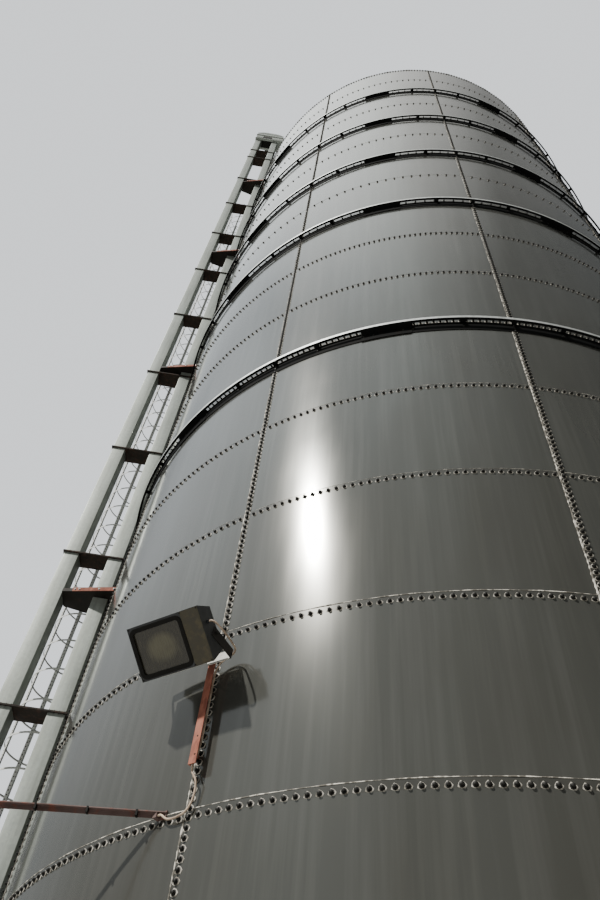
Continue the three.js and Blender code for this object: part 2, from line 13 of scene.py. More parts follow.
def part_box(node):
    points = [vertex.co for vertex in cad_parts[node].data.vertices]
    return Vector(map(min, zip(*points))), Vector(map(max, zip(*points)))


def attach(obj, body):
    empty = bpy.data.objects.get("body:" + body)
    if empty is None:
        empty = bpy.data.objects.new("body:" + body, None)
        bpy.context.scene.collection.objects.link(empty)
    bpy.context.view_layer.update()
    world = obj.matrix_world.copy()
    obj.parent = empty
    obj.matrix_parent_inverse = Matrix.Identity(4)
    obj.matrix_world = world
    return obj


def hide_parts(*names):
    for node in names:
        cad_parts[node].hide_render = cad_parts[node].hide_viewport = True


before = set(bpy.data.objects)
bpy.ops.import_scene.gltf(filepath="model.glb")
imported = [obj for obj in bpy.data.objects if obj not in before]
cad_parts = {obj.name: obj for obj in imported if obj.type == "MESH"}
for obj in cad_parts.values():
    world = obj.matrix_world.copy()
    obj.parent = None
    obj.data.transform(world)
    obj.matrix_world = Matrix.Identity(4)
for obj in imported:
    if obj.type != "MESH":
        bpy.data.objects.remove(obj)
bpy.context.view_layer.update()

log = logging.getLogger("feed_silo")

Pair = tuple[float, float]
Triple = tuple[float, float, float]
Spots = tuple[np.ndarray, np.ndarray]
Socket = bpy.types.NodeSocket
Material = bpy.types.Material

MM = 0.001
UP = np.array([0.0, 0.0, 1.0])
RGBA = {"data_type": "RGBA"}

# Driving sizes of the shell, in metres and degrees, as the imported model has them
RADIUS = 4.270
WALL = 0.008
COURSE = 1.308
COURSES = 18
PLATES_AROUND = 10
PLATE_ANGLE = 360 / PLATES_AROUND
FIRST_SEAM = -129.32
EAVE = COURSE * COURSES
RING_SEAMS = (7, 10, 12, 14, 16)
RING_CELL = PLATE_ANGLE / 5
LAP = 0.045
DENSE_SEAMS = 9
THIN_SEAM = 5

# Driving sizes of the elevator
TRUNK_X = (-5.106, -4.513)
TRUNK_WIDTH = 0.195
TRUNK_DEPTH = 0.250
BOOT_TOP = 1.620
SECTION = 2.375
SECTIONS = 11
NECK = BOOT_TOP + SECTIONS * SECTION
NECK_TOP = NECK + 0.855
HEAD_BASE = 29.950

# Sections of the beads of sealant: off the shell, then up it or round it, in metres
ROW_BEAD = np.array([[-0.004, -0.004], [0.0035, -0.002], [0.002, 0.004], [-0.004, 0.006]])
COLUMN_BEAD = np.array([[-0.004, -0.007], [0.003, -0.0035], [0.003, 0.0035], [-0.004, 0.007]])


class Slot(Enum):
    """The material slots, by name."""

    ENAMEL = "enamel"
    RING_STEEL = "ring_steel"
    ROOF_STEEL = "roof_steel"
    ELEVATOR_PAINT = "elevator_paint"
    GALVANISED = "galvanised"
    DARK_STEEL = "dark_steel"
    RUSTY_STEEL = "rusty_steel"
    LAMP_HOUSING = "lamp_housing"
    CABLE = "cable"


# Shapes from whole arrays


@dataclass
class Surface:
    """Faces of one or more shapes.

    Attributes:
        points: The corners, one row of x, y and z in metres for each.
        quads: Four corner numbers for each four-sided face.
        triangles: Three corner numbers for each three-sided face.
    """

    points: np.ndarray
    quads: np.ndarray = field(default_factory=lambda: np.zeros((0, 4), int))
    triangles: np.ndarray = field(default_factory=lambda: np.zeros((0, 3), int))

    def volume(self) -> float:
        """Adds up the signed volume, each face's box product over six.

        Returns:
            Cubic metres, below zero where the faces point in.
        """
        halves = [self.triangles, self.quads[:, :3], self.quads[:, [0, 2, 3]]]
        a, b, c = np.moveaxis(self.points[np.concatenate(halves)], 1, 0)
        return float(np.einsum("ij,ij->i", a, np.cross(b, c)).sum() / 6)

    def outward(self) -> "Surface":
        """Turns the faces to point out.

        Returns:
            This surface, or one with its faces turned round.
        """
        if self.volume() >= 0:
            return self
        return Surface(self.points, self.quads[:, ::-1], self.triangles[:, ::-1])

    def moved(self, axes: np.ndarray, centre: Triple = (0.0, 0.0, 0.0)) -> "Surface":
        """Returns the surface with its own axes laid on these and its origin on the centre."""
        return Surface(self.points @ axes + np.array(centre), self.quads, self.triangles)


def joined(parts: list[Surface]) -> Surface:
    """Puts several surfaces in one.

    Args:
        parts: The surfaces, each with its own corner numbers.

    Returns:
        One surface, with the corner numbers of each part moved past those before it.
    """
    starts = np.cumsum([0] + [len(part.points) for part in parts[:-1]])
    return Surface(
        np.concatenate([part.points for part in parts]),
        np.concatenate([part.quads + start for part, start in zip(parts, starts)]),
        np.concatenate([part.triangles + start for part, start in zip(parts, starts)]),
    )


def swept(stations: np.ndarray, closed: bool = False) -> Surface:
    """Joins the stations of a closed profile.

    Args:
        stations: Points by station, profile corner and coordinate.
        closed: Whether the last station meets the first.

    Returns:
        A closed surface. Its ends are fans, so an open sweep has a convex profile.
    """
    count, corners, _ = stations.shape
    number = np.arange(count * corners).reshape(count, corners)
    here = number if closed else number[:-1]
    there = np.roll(number, -1, axis=0) if closed else number[1:]
    quads = np.stack([here, np.roll(here, -1, 1), np.roll(there, -1, 1), there], -1).reshape(-1, 4)
    triangles = np.zeros((0, 3), int)
    if not closed:
        fan = np.stack([np.zeros(corners - 2, int), np.arange(1, corners - 1), np.arange(2, corners)], -1)
        triangles = np.concatenate([fan[:, ::-1], fan + (count - 1) * corners])
    return Surface(stations.reshape(-1, 3), quads, triangles).outward()


def round_axis(profile: np.ndarray, angles: np.ndarray, closed: bool = False) -> Surface:
    """Carries a closed [radius, height] profile round the vertical axis.

    Each point is (radius cos angle, radius sin angle, height).

    Args:
        profile: Radius and height of each corner, in metres.
        angles: The stations' angles in degrees.
        closed: Whether the sweep goes all the way round.

    Returns:
        The closed surface.
    """
    turn = np.radians(angles)[:, None]
    radius = profile[None, :, 0]
    height = np.broadcast_to(profile[None, :, 1], (len(angles), len(profile)))
    return swept(np.stack([radius * np.cos(turn), radius * np.sin(turn), height], -1), closed)


def curved_block(radii: Pair, angles: Pair, heights: Pair) -> Surface:
    """A block bent round the axis, with about four stations to five degrees.

    Args:
        radii: Inner and outer radius in metres.
        angles: First and last angle in degrees.
        heights: Bottom and top in metres.

    Returns:
        The closed surface.
    """
    (inner, outer), (low, high) = radii, heights
    profile = np.array([[inner, low], [outer, low], [outer, high], [inner, high]])
    steps = max(2, int(abs(angles[1] - angles[0]) * 0.8) + 1)
    return round_axis(profile, np.linspace(angles[0], angles[1], steps))


def stacked(rings: list[np.ndarray], heights: tuple[float, ...]) -> np.ndarray:
    """Returns level outlines lifted to their heights, as one station for each."""
    return np.stack([np.c_[ring, np.full(len(ring), z)] for ring, z in zip(rings, heights)])


def full_ring(profile: list[Pair], steps: int = 360) -> Surface:
    """Returns a closed ring whose corners are radius and height in metres."""
    return round_axis(np.array(profile), FIRST_SEAM + np.arange(steps) * 360 / steps, closed=True)


def box(low: Triple, high: Triple) -> Surface:
    """A box between two corners.

    Args:
        low: The corner with the lowest values, in metres.
        high: The corner with the highest values, in metres.

    Returns:
        The closed surface.
    """
    (x0, y0, z0), (x1, y1, z1) = low, high
    ring = np.array([[x0, y0], [x1, y0], [x1, y1], [x0, y1]])
    return swept(stacked([ring, ring], (z0, z1)))


def rounded_outline(
    middle: Pair, half: Pair, corner: float, grow: float = 0.0, steps: int = 4
) -> np.ndarray:
    """The outline of a rectangle with quarter circles at its corners.

    Each point is the middle, plus a corner's signs times what the half sizes have over the radius, plus
    the circle times the radius and its growth.

    Args:
        middle: In metres.
        half: Half of the width and of the height, in metres.
        corner: Radius of the corners in metres.
        grow: How far the outline lies outside those sizes, in metres.
        steps: Steps in each quarter circle.

    Returns:
        The points, one row of two values for each.
    """
    turn = np.radians(np.arange(0, 360, 90)[:, None] + np.linspace(0, 90, steps + 1)[None, :])
    circle = np.stack([np.cos(turn), np.sin(turn)], -1)
    signs = np.array([[1, 1], [-1, 1], [-1, -1], [1, -1]])[:, None, :]
    return (np.array(middle) + signs * (np.array(half) - corner) + circle * (corner + grow)).reshape(-1, 2)


def tube(path: np.ndarray, radius: float, sides: int = 8) -> Surface:
    """A round bar along a path.

    At each point a circle lies square to the path, on the two directions that are square to it.

    Args:
        path: The points that it follows, in metres.
        radius: Half its thickness in metres.
        sides: Sides of the circle.

    Returns:
        The closed surface.
    """
    along = np.gradient(path, axis=0)
    along /= np.linalg.norm(along, axis=1)[:, None]
    reference = UP if np.abs(along @ UP).max() <= 0.95 else np.array([0.31, 0.95, 0.05])
    side = np.cross(along, reference)
    side /= np.linalg.norm(side, axis=1)[:, None]
    other = np.cross(side, along)
    turn = np.linspace(0, 2 * np.pi, sides, endpoint=False)
    circle = np.cos(turn)[None, :, None] * side[:, None] + np.sin(turn)[None, :, None] * other[:, None]
    return swept(path[:, None] + radius * circle)


def bar(path: np.ndarray, side: np.ndarray, rise: np.ndarray) -> Surface:
    """A four-cornered bar along a path, whose corners are the path plus and minus the two half sizes.

    Args:
        path: The points of its middle line, in metres.
        side: Half its width as a vector, one for all points or one for each.
        rise: Half its height as a vector.

    Returns:
        The closed surface.
    """
    corners = [path - side - rise, path + side - rise, path + side + rise, path - side + rise]
    return swept(np.stack(corners, 1))


def scattered(shape: Surface, places: np.ndarray, normals: np.ndarray) -> Surface:
    """Puts a copy of a shape at each place.

    Each corner goes to place + x side + y other + z normal.

    Args:
        shape: The shape, standing up +Z on the origin.
        places: Where each copy stands, in metres.
        normals: The unit direction that each copy points in, or one for all.

    Returns:
        All copies in one surface.
    """
    normals = np.broadcast_to(normals, places.shape)
    reference = np.where(np.abs(normals[:, 2:]) > 0.9, [[1.0, 0.0, 0.0]], [[0.0, 0.0, 1.0]])
    side = np.cross(reference, normals)
    side /= np.linalg.norm(side, axis=1)[:, None]
    axes = np.stack([side, np.cross(normals, side), normals], 1)
    points = places[:, None] + np.einsum("pk,nkc->npc", shape.points, axes)
    shift = (np.arange(len(places)) * len(shape.points))[:, None, None]
    return Surface(
        points.reshape(-1, 3),
        (shape.quads[None] + shift).reshape(-1, 4),
        (shape.triangles[None] + shift).reshape(-1, 3),
    )


@dataclass(frozen=True)
class BoltShape:
    """A bolt head or nut on its washer, turned from a [radius, height] line.

    Attributes:
        radius: Of the washer, in metres.
        rise: How far the head stands up, in metres.
        sides: Sides of each circle.
        plain: Whether the head is a simple cap, for bolts far from any eye.
    """

    radius: float
    rise: float
    sides: int = 8
    plain: bool = False

    def template(self) -> Surface:
        """Turns the line into the head.

        Returns:
            The head on the origin, standing up +Z.
        """
        r, h = self.radius, self.rise
        line = [(r, -0.2 * h), (r, 0.2 * h), (0.68 * r, 0.26 * h), (0.62 * r, 0.86 * h), (0.3 * r, h)]
        if self.plain:
            line = [(r, -0.2 * h), (0.9 * r, 0.35 * h), (0.45 * r, h)]
        turn = np.radians(np.arange(self.sides) * 360 / self.sides)
        circle = np.stack([np.cos(turn), np.sin(turn)], -1)
        radii, heights = zip(*line)
        return swept(stacked([circle * radius for radius in radii], heights))

    def at(self, places: np.ndarray, normals: np.ndarray) -> Surface:
        """Returns a head at each place, as scattered puts them."""
        return scattered(self.template(), places, normals)


@dataclass(frozen=True)
class SealantCollar:
    """The blot of sealant that a bolt squeezes out, a low cone round its head.

    Attributes:
        radius: Of its outer corners, in metres.
        rise: Of its tip, in metres.
        rim: How far its edge stands off the shell, in metres.
        sides: Corners of its edge.
        drawn_in: By how much of the radius every second corner lies further in.
    """

    radius: float = 0.028
    rise: float = 0.009
    rim: float = 0.0012
    sides: int = 7
    drawn_in: float = 0.2

    def template(self) -> Surface:
        """Puts the cone's corners on a circle and joins them to its tip.

        Returns:
            The cone on the origin, standing up +Z.
        """
        number = np.arange(self.sides)
        turn = np.radians(number * 360 / self.sides)
        reach = self.radius * (1 - self.drawn_in * (number % 2))
        rim = np.stack([reach * np.cos(turn), reach * np.sin(turn), np.full(self.sides, self.rim)], -1)
        sides = np.stack([number, np.roll(number, -1), np.full(self.sides, self.sides)], -1)
        foot = np.stack([np.zeros(self.sides - 2, int), number[2:], number[1:-1]], -1)
        points = np.concatenate([rim, [[0, 0, self.rise]]])
        return Surface(points, triangles=np.concatenate([sides, foot])).outward()


# Every bolt, screw and open hole: outer radius and rise in metres, sides, and whether it is plain
NEAR_BOLT = BoltShape(0.0185, 0.024, 8)
FAR_BOLT = BoltShape(0.0185, 0.022, 6, True)
RING_ROW_BOLT = BoltShape(0.014, 0.034, 6, True)
RING_BOLT = BoltShape(0.015, 0.014, 6, True)
EAVE_BOLT = BoltShape(0.012, 0.012, 6, True)
ANCHOR_BOLT = BoltShape(0.022, 0.05, 6)
JOINT_BOLT = BoltShape(0.009, 0.011, 6, True)
TIE_BOLT = BoltShape(0.013, 0.012, 6)
CAGE_BOLT = BoltShape(0.009, 0.008, 6, True)
FACE_SCREW = BoltShape(0.006, 0.005, 6)
PIVOT_BOLT = BoltShape(0.016, 0.012, 8)
OPEN_HOLE = BoltShape(0.007, 0.0012, 8, True)


def bearing(degrees: float | np.ndarray) -> np.ndarray:
    """Returns the level unit direction at an angle round the axis, or one for each angle."""
    turn = np.radians(degrees)
    return np.stack([np.cos(turn), np.sin(turn), np.zeros_like(turn)], -1)


def wall_axes(degrees: float) -> np.ndarray:
    """Returns the directions out of the shell, along it and up, at an angle."""
    out = bearing(degrees)
    return np.array([out, [-out[1], out[0], 0], UP])


def on_shell(angles: np.ndarray, heights: float | np.ndarray, stand: float = 0.0) -> Spots:
    """Points on the shell and the directions square to it.

    Args:
        angles: In degrees round the axis.
        heights: In metres, one for each angle or one for all.
        stand: Distance off the shell in metres.

    Returns:
        The points and the outward unit directions.
    """
    out = bearing(angles)
    points = out * (RADIUS + stand)
    points[:, 2] = heights
    return points, out


def add_piece(
    name: str, surface: Surface, material: Material,
    replaces: tuple[str, ...] = (), crease: float = 32.0,
) -> bpy.types.Object:
    """Makes a mesh object of a surface and has it ride on the silo.

    Args:
        name: The piece's name.
        surface: Its faces.
        material: Its finish.
        replaces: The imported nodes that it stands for.
        crease: Edges with a sharper turn than this, in degrees, stay sharp.

    Returns:
        The object.
    """
    mesh = bpy.data.meshes.new(name)
    quads, triangles = surface.quads, surface.triangles
    corners = np.concatenate([quads.ravel(), triangles.ravel()])
    mesh.vertices.add(len(surface.points))
    mesh.vertices.foreach_set("co", surface.points.astype(np.float32).ravel())
    mesh.loops.add(len(corners))
    mesh.loops.foreach_set("vertex_index", corners.astype(np.int32))
    mesh.polygons.add(len(quads) + len(triangles))
    starts = np.concatenate([np.arange(len(quads)) * 4, quads.size + np.arange(len(triangles)) * 3])
    mesh.polygons.foreach_set("loop_start", starts.astype(np.int32))
    mesh.update(calc_edges=True)
    mesh.validate()
    mesh.shade_smooth()
    mesh.set_sharp_from_angle(angle=math.radians(crease))
    mesh.materials.append(material)
    piece = bpy.data.objects.new(name, mesh)
    bpy.context.scene.collection.objects.link(piece)
    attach(piece, "root")
    if replaces:
        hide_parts(*replaces)
    log.info("%s: %d faces", name, len(quads) + len(triangles))
    return piece


def dress(nodes: list[str], material: Material) -> None:
    """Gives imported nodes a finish.

    Args:
        nodes: Their names.
        material: The finish.
    """
    for name in nodes:
        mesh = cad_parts[name].data
        mesh.materials.clear()
        mesh.materials.append(material)


# Finishes


def linear(code: str) -> tuple[float, float, float, float]:
    """Turns an sRGB hex value to linear light.

    Args:
        code: Such as "a3aba8".

    Returns:
        Red, green and blue, and 1 for alpha.
    """
    values = [int(code[i : i + 2], 16) / 255 for i in (0, 2, 4)]
    light = [v / 12.92 if v <= 0.04045 else ((v + 0.055) / 1.055) ** 2.4 for v in values]
    return (*light, 1.0)


def connect(tree: bpy.types.NodeTree, socket: Socket, value: object) -> None:
    """Links an input to another node's output, or gives it a value.

    Args:
        tree: The node tree.
        socket: The input.
        value: An output, a number, a colour or a vector.
    """
    if isinstance(value, Socket):
        tree.links.new(value, socket)
    else:
        socket.default_value = value


def add_node(
    tree: bpy.types.NodeTree, kind: str, settings: dict | None = None, out: int | str = 0, stops: tuple = (),
    **inputs: object,
) -> Socket:
    """Adds a node with its settings and links.

    Args:
        tree: The node tree.
        kind: The node's type name, without the ShaderNode that it starts with.
        settings: Its own properties.
        out: Name or number of the output that is wanted.
        stops: A ramp's stops, each a place from 0 to 1 and a hex colour.
        **inputs: Values or outputs by input name, with _ for a space, or by number as i0, i1.

    Returns:
        The output.
    """
    made = tree.nodes.new(f"ShaderNode{kind}")
    for key, value in (settings or {}).items():
        setattr(made, key, value)
    for _ in stops[2:]:
        made.color_ramp.elements.new(0.5)
    for index, (place, code) in enumerate(stops):
        point = made.color_ramp.elements[index]
        point.position, point.color = place, linear(code)
    for key, value in inputs.items():
        numbered = key[0] == "i" and key[1:].isdigit()
        connect(tree, made.inputs[int(key[1:]) if numbered else key.replace("_", " ")], value)
    return made.outputs[out]


class NodeKit:
    """A material's node tree, with its Principled shader."""

    def __init__(self, name: str) -> None:
        """Makes the material.

        Args:
            name: Its name.
        """
        self.material = bpy.data.materials.new(name)
        self.material.use_nodes = True
        self.tree = self.material.node_tree
        self.shader = self.tree.nodes["Principled BSDF"]

    def add(self, kind: str, settings: dict | None = None, out: int | str = 0, **inputs: object) -> Socket:
        """Returns an output of a node that add_node adds to this tree."""
        return add_node(self.tree, kind, settings, out, **inputs)

    def finish(self, **inputs: object) -> Material:
        """Sets or links the shader's inputs.

        Args:
            **inputs: Values or outputs by input name, with _ for a space.

        Returns:
            The finished material.
        """
        for key, value in inputs.items():
            connect(self.tree, self.shader.inputs[key.replace("_", " ")], value)
        return self.material

    def place(self, scale: Triple) -> Socket:
        """Returns Object coordinates, in metres, times a scale."""
        return self.add("Mapping", Vector=self.add("TexCoord", out="Object"), Scale=scale)

    def reach(self, centre: Triple, direction: np.ndarray) -> Socket:
        """Measures how far the surface lies from a point along a direction.

        Args:
            centre: The point in metres.
            direction: The unit direction.

        Returns:
            The distance in metres.
        """
        where = self.add("TexCoord", out="Object")
        offset = self.add("VectorMath", {"operation": "SUBTRACT"}, i0=where, i1=centre)
        return self.add("VectorMath", {"operation": "DOT_PRODUCT"}, 1, i0=offset, i1=tuple(direction))

    def patches(self, size: float, stretch: Triple = (1, 1, 1), detail: float = 4) -> Socket:
        """Spreads uneven patches over the piece.

        Args:
            size: Of a patch, in metres.
            stretch: How many times longer a patch is along x, y and z.
            detail: Finer layers.

        Returns:
            The pattern, from 0 to 1.
        """
        where = self.place(tuple(1 / (size * longer) for longer in stretch))
        return self.add("TexNoise", Vector=where, Scale=1.0, Detail=detail, Roughness=0.55)

    def layered(self, base: Socket | str, *layers: tuple[Socket, str]) -> Socket:
        """Lays colours over a base, one after another.

        Args:
            base: A colour's output or a hex colour.
            *layers: For each, how much of it shows, from 0 to 1, and its hex colour.

        Returns:
            The colour on top.
        """
        colour = linear(base) if isinstance(base, str) else base
        for amount, code in layers:
            colour = self.add("Mix", RGBA, 2, i0=amount, i6=colour, i7=linear(code))
        return colour


@dataclass(frozen=True)
class FusedEnamelOnSteel:
    """Glass enamel fired on rolled steel plate: a dark mirror with long upright ripples and pale streaks of
    rain and of painted reflection.

    Attributes:
        base: Clean colour.
        wash_and_reflection: Colour of the pale streaks, partly rain streaks and partly painted reflection.
        grimy: Colour of the dull, dirty patches.
        stained: Colour of the strip between a lap's edge and its bolts.
        ripple: Width of a ripple in the rolled plate, in metres.
        streak: Width of a pale streak in metres.
        cloud: Width of a dull patch in metres.
    """

    base: str = "61635f"
    wash_and_reflection: str = "81827e"
    grimy: str = "504e47"
    stained: str = "494640"
    ripple: float = 0.3
    streak: float = 0.07
    cloud: float = 0.9

    def plate_number(self, kit: NodeKit) -> Socket:
        """Gives each plate a random value, from its count round the shell and up it.

        Args:
            kit: The material's nodes.

        Returns:
            A value from 0 to 1, the same all over a plate.
        """
        where = kit.add("TexCoord", out="Object")
        x, y, z = (kit.add("SeparateXYZ", out=axis, Vector=where) for axis in "XYZ")
        turn = kit.add("Math", {"operation": "ARCTAN2"}, i0=y, i1=x)
        counts = []
        for value, start, step in (
            (turn, math.radians(FIRST_SEAM), math.radians(PLATE_ANGLE)),
            (z, LAP, COURSE),
        ):
            past = kit.add("Math", {"operation": "SUBTRACT"}, i0=value, i1=start)
            share = kit.add("Math", {"operation": "DIVIDE"}, i0=past, i1=step)
            counts.append(kit.add("Math", {"operation": "FLOOR"}, i0=share))
        pair = kit.add("CombineXYZ", i0=counts[0], i1=counts[1])
        return kit.add("TexWhiteNoise", {"noise_dimensions": "2D"}, "Value", i0=pair)

    def lap_strip(self, kit: NodeKit) -> Socket:
        """Marks the strip between each lap's bolts and its edge, from the height over each seam.

        Args:
            kit: The material's nodes.

        Returns:
            1 in the strip and 0 elsewhere.
        """
        below, soft = 0.02, 0.01
        height = kit.add("SeparateXYZ", out="Z", Vector=kit.add("TexCoord", out="Object"))
        lifted = kit.add("Math", {"operation": "ADD"}, i0=height, i1=below)
        over = kit.add("Math", {"operation": "MODULO"}, i0=lifted, i1=COURSE)
        edge = below + LAP - soft
        end = edge + 1.5 * soft
        return kit.add("MapRange", Value=over, From_Min=edge, From_Max=end, To_Min=1.0, To_Max=0.0)

    def build(self, name: str) -> Material:
        """Makes the material.

        Args:
            name: Its name.

        Returns:
            The material.
        """
        kit = NodeKit(name)
        streaks = kit.patches(self.streak, (1, 1, 30), 4)
        clouds = kit.patches(self.cloud, (1, 1, 2.5), 3)
        ripples = kit.patches(self.ripple, (1, 1, 6), 1)
        # Pale streaks: partly rain streaks, partly painted reflection.
        pale = kit.add("MapRange", Value=streaks, From_Min=0.45, From_Max=0.75, To_Max=0.35)
        dull = kit.add("MapRange", Value=clouds, From_Min=0.45, From_Max=0.75, To_Max=0.45)
        own = kit.add("MapRange", Value=self.plate_number(kit), To_Max=0.22)
        stain = kit.add("MapRange", Value=self.lap_strip(kit), To_Max=0.25)
        layers = ((pale, self.wash_and_reflection), (dull, self.grimy), (own, self.grimy), (stain, self.stained))
        polish = kit.add("MapRange", Value=clouds, From_Min=0.3, From_Max=0.8, To_Min=0.11, To_Max=0.18)
        return kit.finish(
            Base_Color=kit.layered(self.base, *layers),
            Metallic=0.5,
            Roughness=polish,
            Coat_Weight=0.4,
            Coat_Roughness=0.06,
            Normal=kit.add("Bump", Height=ripples, Distance=0.004, Strength=0.5),
        )


@dataclass(frozen=True)
class WeatheredSteel:
    """Steel under paint or zinc that has weathered: patches of a second colour, grime and rust.

    Attributes:
        base: Main colour.
        blot: Second colour, in patches.
        rust: Colour of the rust.
        rusted: How much of it is rust, from 0 to 1.
        metallic: Of the shader.
        roughness: Lowest and highest.
        blot_size: Of a patch, in metres.
        grain: Of the fine bump, in metres.
        gloss: The shader's specular level, low for a chalky coat.
    """

    base: str
    blot: str
    rust: str
    rusted: float
    metallic: float = 0.0
    roughness: Pair = (0.5, 0.7)
    blot_size: float = 0.1
    grain: float = 0.012
    gloss: float = 0.5

    def build(self, name: str) -> Material:
        """Makes the material.

        Args:
            name: Its name.

        Returns:
            The material.
        """
        kit = NodeKit(name)
        blots = kit.patches(self.blot_size, (1, 1, 2), 6)
        spots = kit.patches(self.blot_size * 0.35, (1, 1, 1.6), 8)
        edge = 0.78 - 0.45 * self.rusted
        most = min(1.0, 0.15 + self.rusted)
        rust = kit.add("MapRange", Value=spots, From_Min=edge - 0.12, From_Max=edge + 0.02, To_Max=most)
        colour = kit.add("ValToRGB", Fac=blots, stops=((0.35, self.base), (0.68, self.blot)))
        smooth, rough = self.roughness
        polish = kit.add("MapRange", Value=blots, From_Min=0.3, From_Max=0.7, To_Min=smooth, To_Max=rough)
        return kit.finish(
            Base_Color=kit.layered(colour, (rust, self.rust)),
            Metallic=self.metallic,
            Roughness=polish,
            Specular_IOR_Level=self.gloss,
            Normal=kit.add("Bump", Height=kit.patches(self.grain, detail=3), Distance=0.0015, Strength=0.35),
        )


@dataclass(frozen=True)
class SpangledZinc:
    """Sheet steel dipped in zinc: grey crystals, dulled by chalky dust that rain has run down.

    Attributes:
        base: Main colour.
        spangle: Colour of the paler crystals.
        dust: Colour of the dust.
        crystal: Size of a crystal in metres, drawn coarser than the real ones so that it shows.
    """

    base: str
    spangle: str
    dust: str
    crystal: float = 0.03

    def build(self, name: str) -> Material:
        """Makes the material.

        Args:
            name: Its name.

        Returns:
            The material.
        """
        kit = NodeKit(name)
        crystals = kit.add("TexVoronoi", out="Color", Vector=kit.place((1 / self.crystal,) * 3), Scale=1.0)
        runs = kit.patches(0.05, (1, 1, 16), 5)
        clouds = kit.patches(0.7, (1, 1, 1.5), 3)
        dusty = kit.add("MapRange", Value=runs, From_Min=0.42, From_Max=0.72, To_Max=0.5)
        return kit.finish(
            Base_Color=kit.layered(self.base, (crystals, self.spangle), (dusty, self.dust)),
            Metallic=0.45,
            Roughness=kit.add("MapRange", Value=clouds, From_Min=0.3, From_Max=0.7, To_Min=0.42, To_Max=0.6),
            Normal=kit.add("Bump", Height=clouds, Distance=0.01, Strength=0.15),
        )


@dataclass(frozen=True)
class TwoToneCoat:
    """A soft coat that is clean in some patches and dirty in the rest, with lumps.

    Attributes:
        base: Clean colour.
        dirt: Colour of the dirt.
        patch: Size of a patch in metres.
        clean: Below this value of the pattern it is clean.
        soft: From there to the dirt, in the pattern's values.
        detail: Finer layers of the patches.
        roughness: Of the shader.
        lump: Width of a lump, its height, in metres, and the strength of its bump.
    """

    base: str
    dirt: str
    patch: float
    clean: float
    soft: float = 0.12
    detail: float = 4
    roughness: float = 0.8
    lump: Triple = (0.03, 0.004, 0.8)

    def build(self, name: str) -> Material:
        """Makes the material.

        Args:
            name: Its name.

        Returns:
            The material.
        """
        kit = NodeKit(name)
        width, height, strength = self.lump
        stops = ((self.clean, self.base), (self.clean + self.soft, self.dirt))
        return kit.finish(
            Base_Color=kit.add("ValToRGB", Fac=kit.patches(self.patch, detail=self.detail), stops=stops),
            Roughness=self.roughness,
            Normal=kit.add("Bump", Height=kit.patches(width), Distance=height, Strength=strength),
        )


@dataclass(frozen=True)
class DustyFlatGlass:
    """Pressed glass with fine upright flutes over an oval reflector, dulled by dried rain and dust.

    Attributes:
        base: Colour over the dark inside.
        reflector: Colour over the oval reflector.
        flute: Colour of the flutes' dusty crests.
        oval: Half sizes of the reflector along the lamp and up it, in metres.
        aside: From the reflector's middle to the middle of the lamp's face, in metres.
        flutes: Ridges to a metre along the lamp and up it.
    """

    base: str = "2a281f"
    reflector: str = "66634d"
    flute: str = "615f4d"
    oval: Pair = (0.112, 0.088)
    aside: float = 0.062
    flutes: Pair = (170, 9)

    def build(self, name: str, centre: Triple, axes: np.ndarray) -> Material:
        """Makes the material.

        Args:
            name: Its name.
            centre: The middle of the lamp's face in metres.
            axes: The lamp's directions: along, up and out.

        Returns:
            The material.
        """
        kit = NodeKit(name)
        times = {"operation": "MULTIPLY"}
        along, up = (kit.reach(centre, axis) for axis in axes[:2])
        shifted = kit.add("Math", {"operation": "ADD"}, i0=along, i1=self.aside)
        face = kit.add("CombineXYZ", i0=shifted, i1=up)
        oval = kit.add("VectorMath", times, i0=face, i1=(1 / self.oval[0], 1 / self.oval[1], 0))
        reach = kit.add("VectorMath", {"operation": "LENGTH"}, 1, i0=oval)
        fine = kit.add("VectorMath", times, i0=face, i1=(*self.flutes, 0))
        flutes = kit.add("TexNoise", Vector=fine, Scale=1.0, Detail=3.0)
        clouds = kit.patches(0.16, detail=3)
        inside = kit.add("MapRange", Value=reach, From_Min=0.75, From_Max=1.25, To_Min=0.75, To_Max=0.0)
        dull = kit.add("MapRange", Value=clouds, From_Min=0.4, From_Max=0.7, To_Max=0.35)
        crests = kit.add("MapRange", Value=flutes, From_Min=0.5, From_Max=0.75, To_Max=0.5)
        layers = ((inside, self.reflector), (dull, self.base), (crests, self.flute))
        polish = kit.add("MapRange", Value=flutes, From_Min=0.4, From_Max=0.7, To_Min=0.22, To_Max=0.45)
        return kit.finish(
            Base_Color=kit.layered(self.base, *layers),
            Roughness=polish,
            Coat_Weight=0.3,
            Normal=kit.add("Bump", Height=flutes, Distance=0.002, Strength=0.4),
        )


@dataclass(frozen=True)
class StrapSteelWithPaintedShade:
    """A bent strap of pale zinc with rusty stains, with dark painted shade on its arm past one side of the
    lamp.

    Attributes:
        paint: Colour of the painted shade.
        bare: Colour of the bare zinc.
        stain: Colour of its rusty stains.
        edge: Where the painted shade begins, in metres along the lamp.
    """

    paint: str = "1f1c19"
    bare: str = "c9c9c2"
    stain: str = "8f7a68"
    edge: float = 0.285

    def build(self, name: str, centre: Triple, along: np.ndarray) -> Material:
        """Makes the material.

        Args:
            name: Its name.
            centre: The middle of the lamp's face in metres.
            along: The lamp's long direction.

        Returns:
            The material.
        """
        kit = NodeKit(name)
        reach = kit.reach(centre, along)
        # Painted shade: dark on the arm past the edge, the side that faces away from the key light.
        painted = kit.add("MapRange", Value=reach, From_Min=self.edge, From_Max=self.edge + 0.006)
        stained = kit.add("MapRange", Value=kit.patches(0.05), From_Min=0.55, From_Max=0.7, To_Max=0.4)
        return kit.finish(
            Base_Color=kit.layered(self.bare, (stained, self.stain), (painted, self.paint)), Roughness=0.6
        )


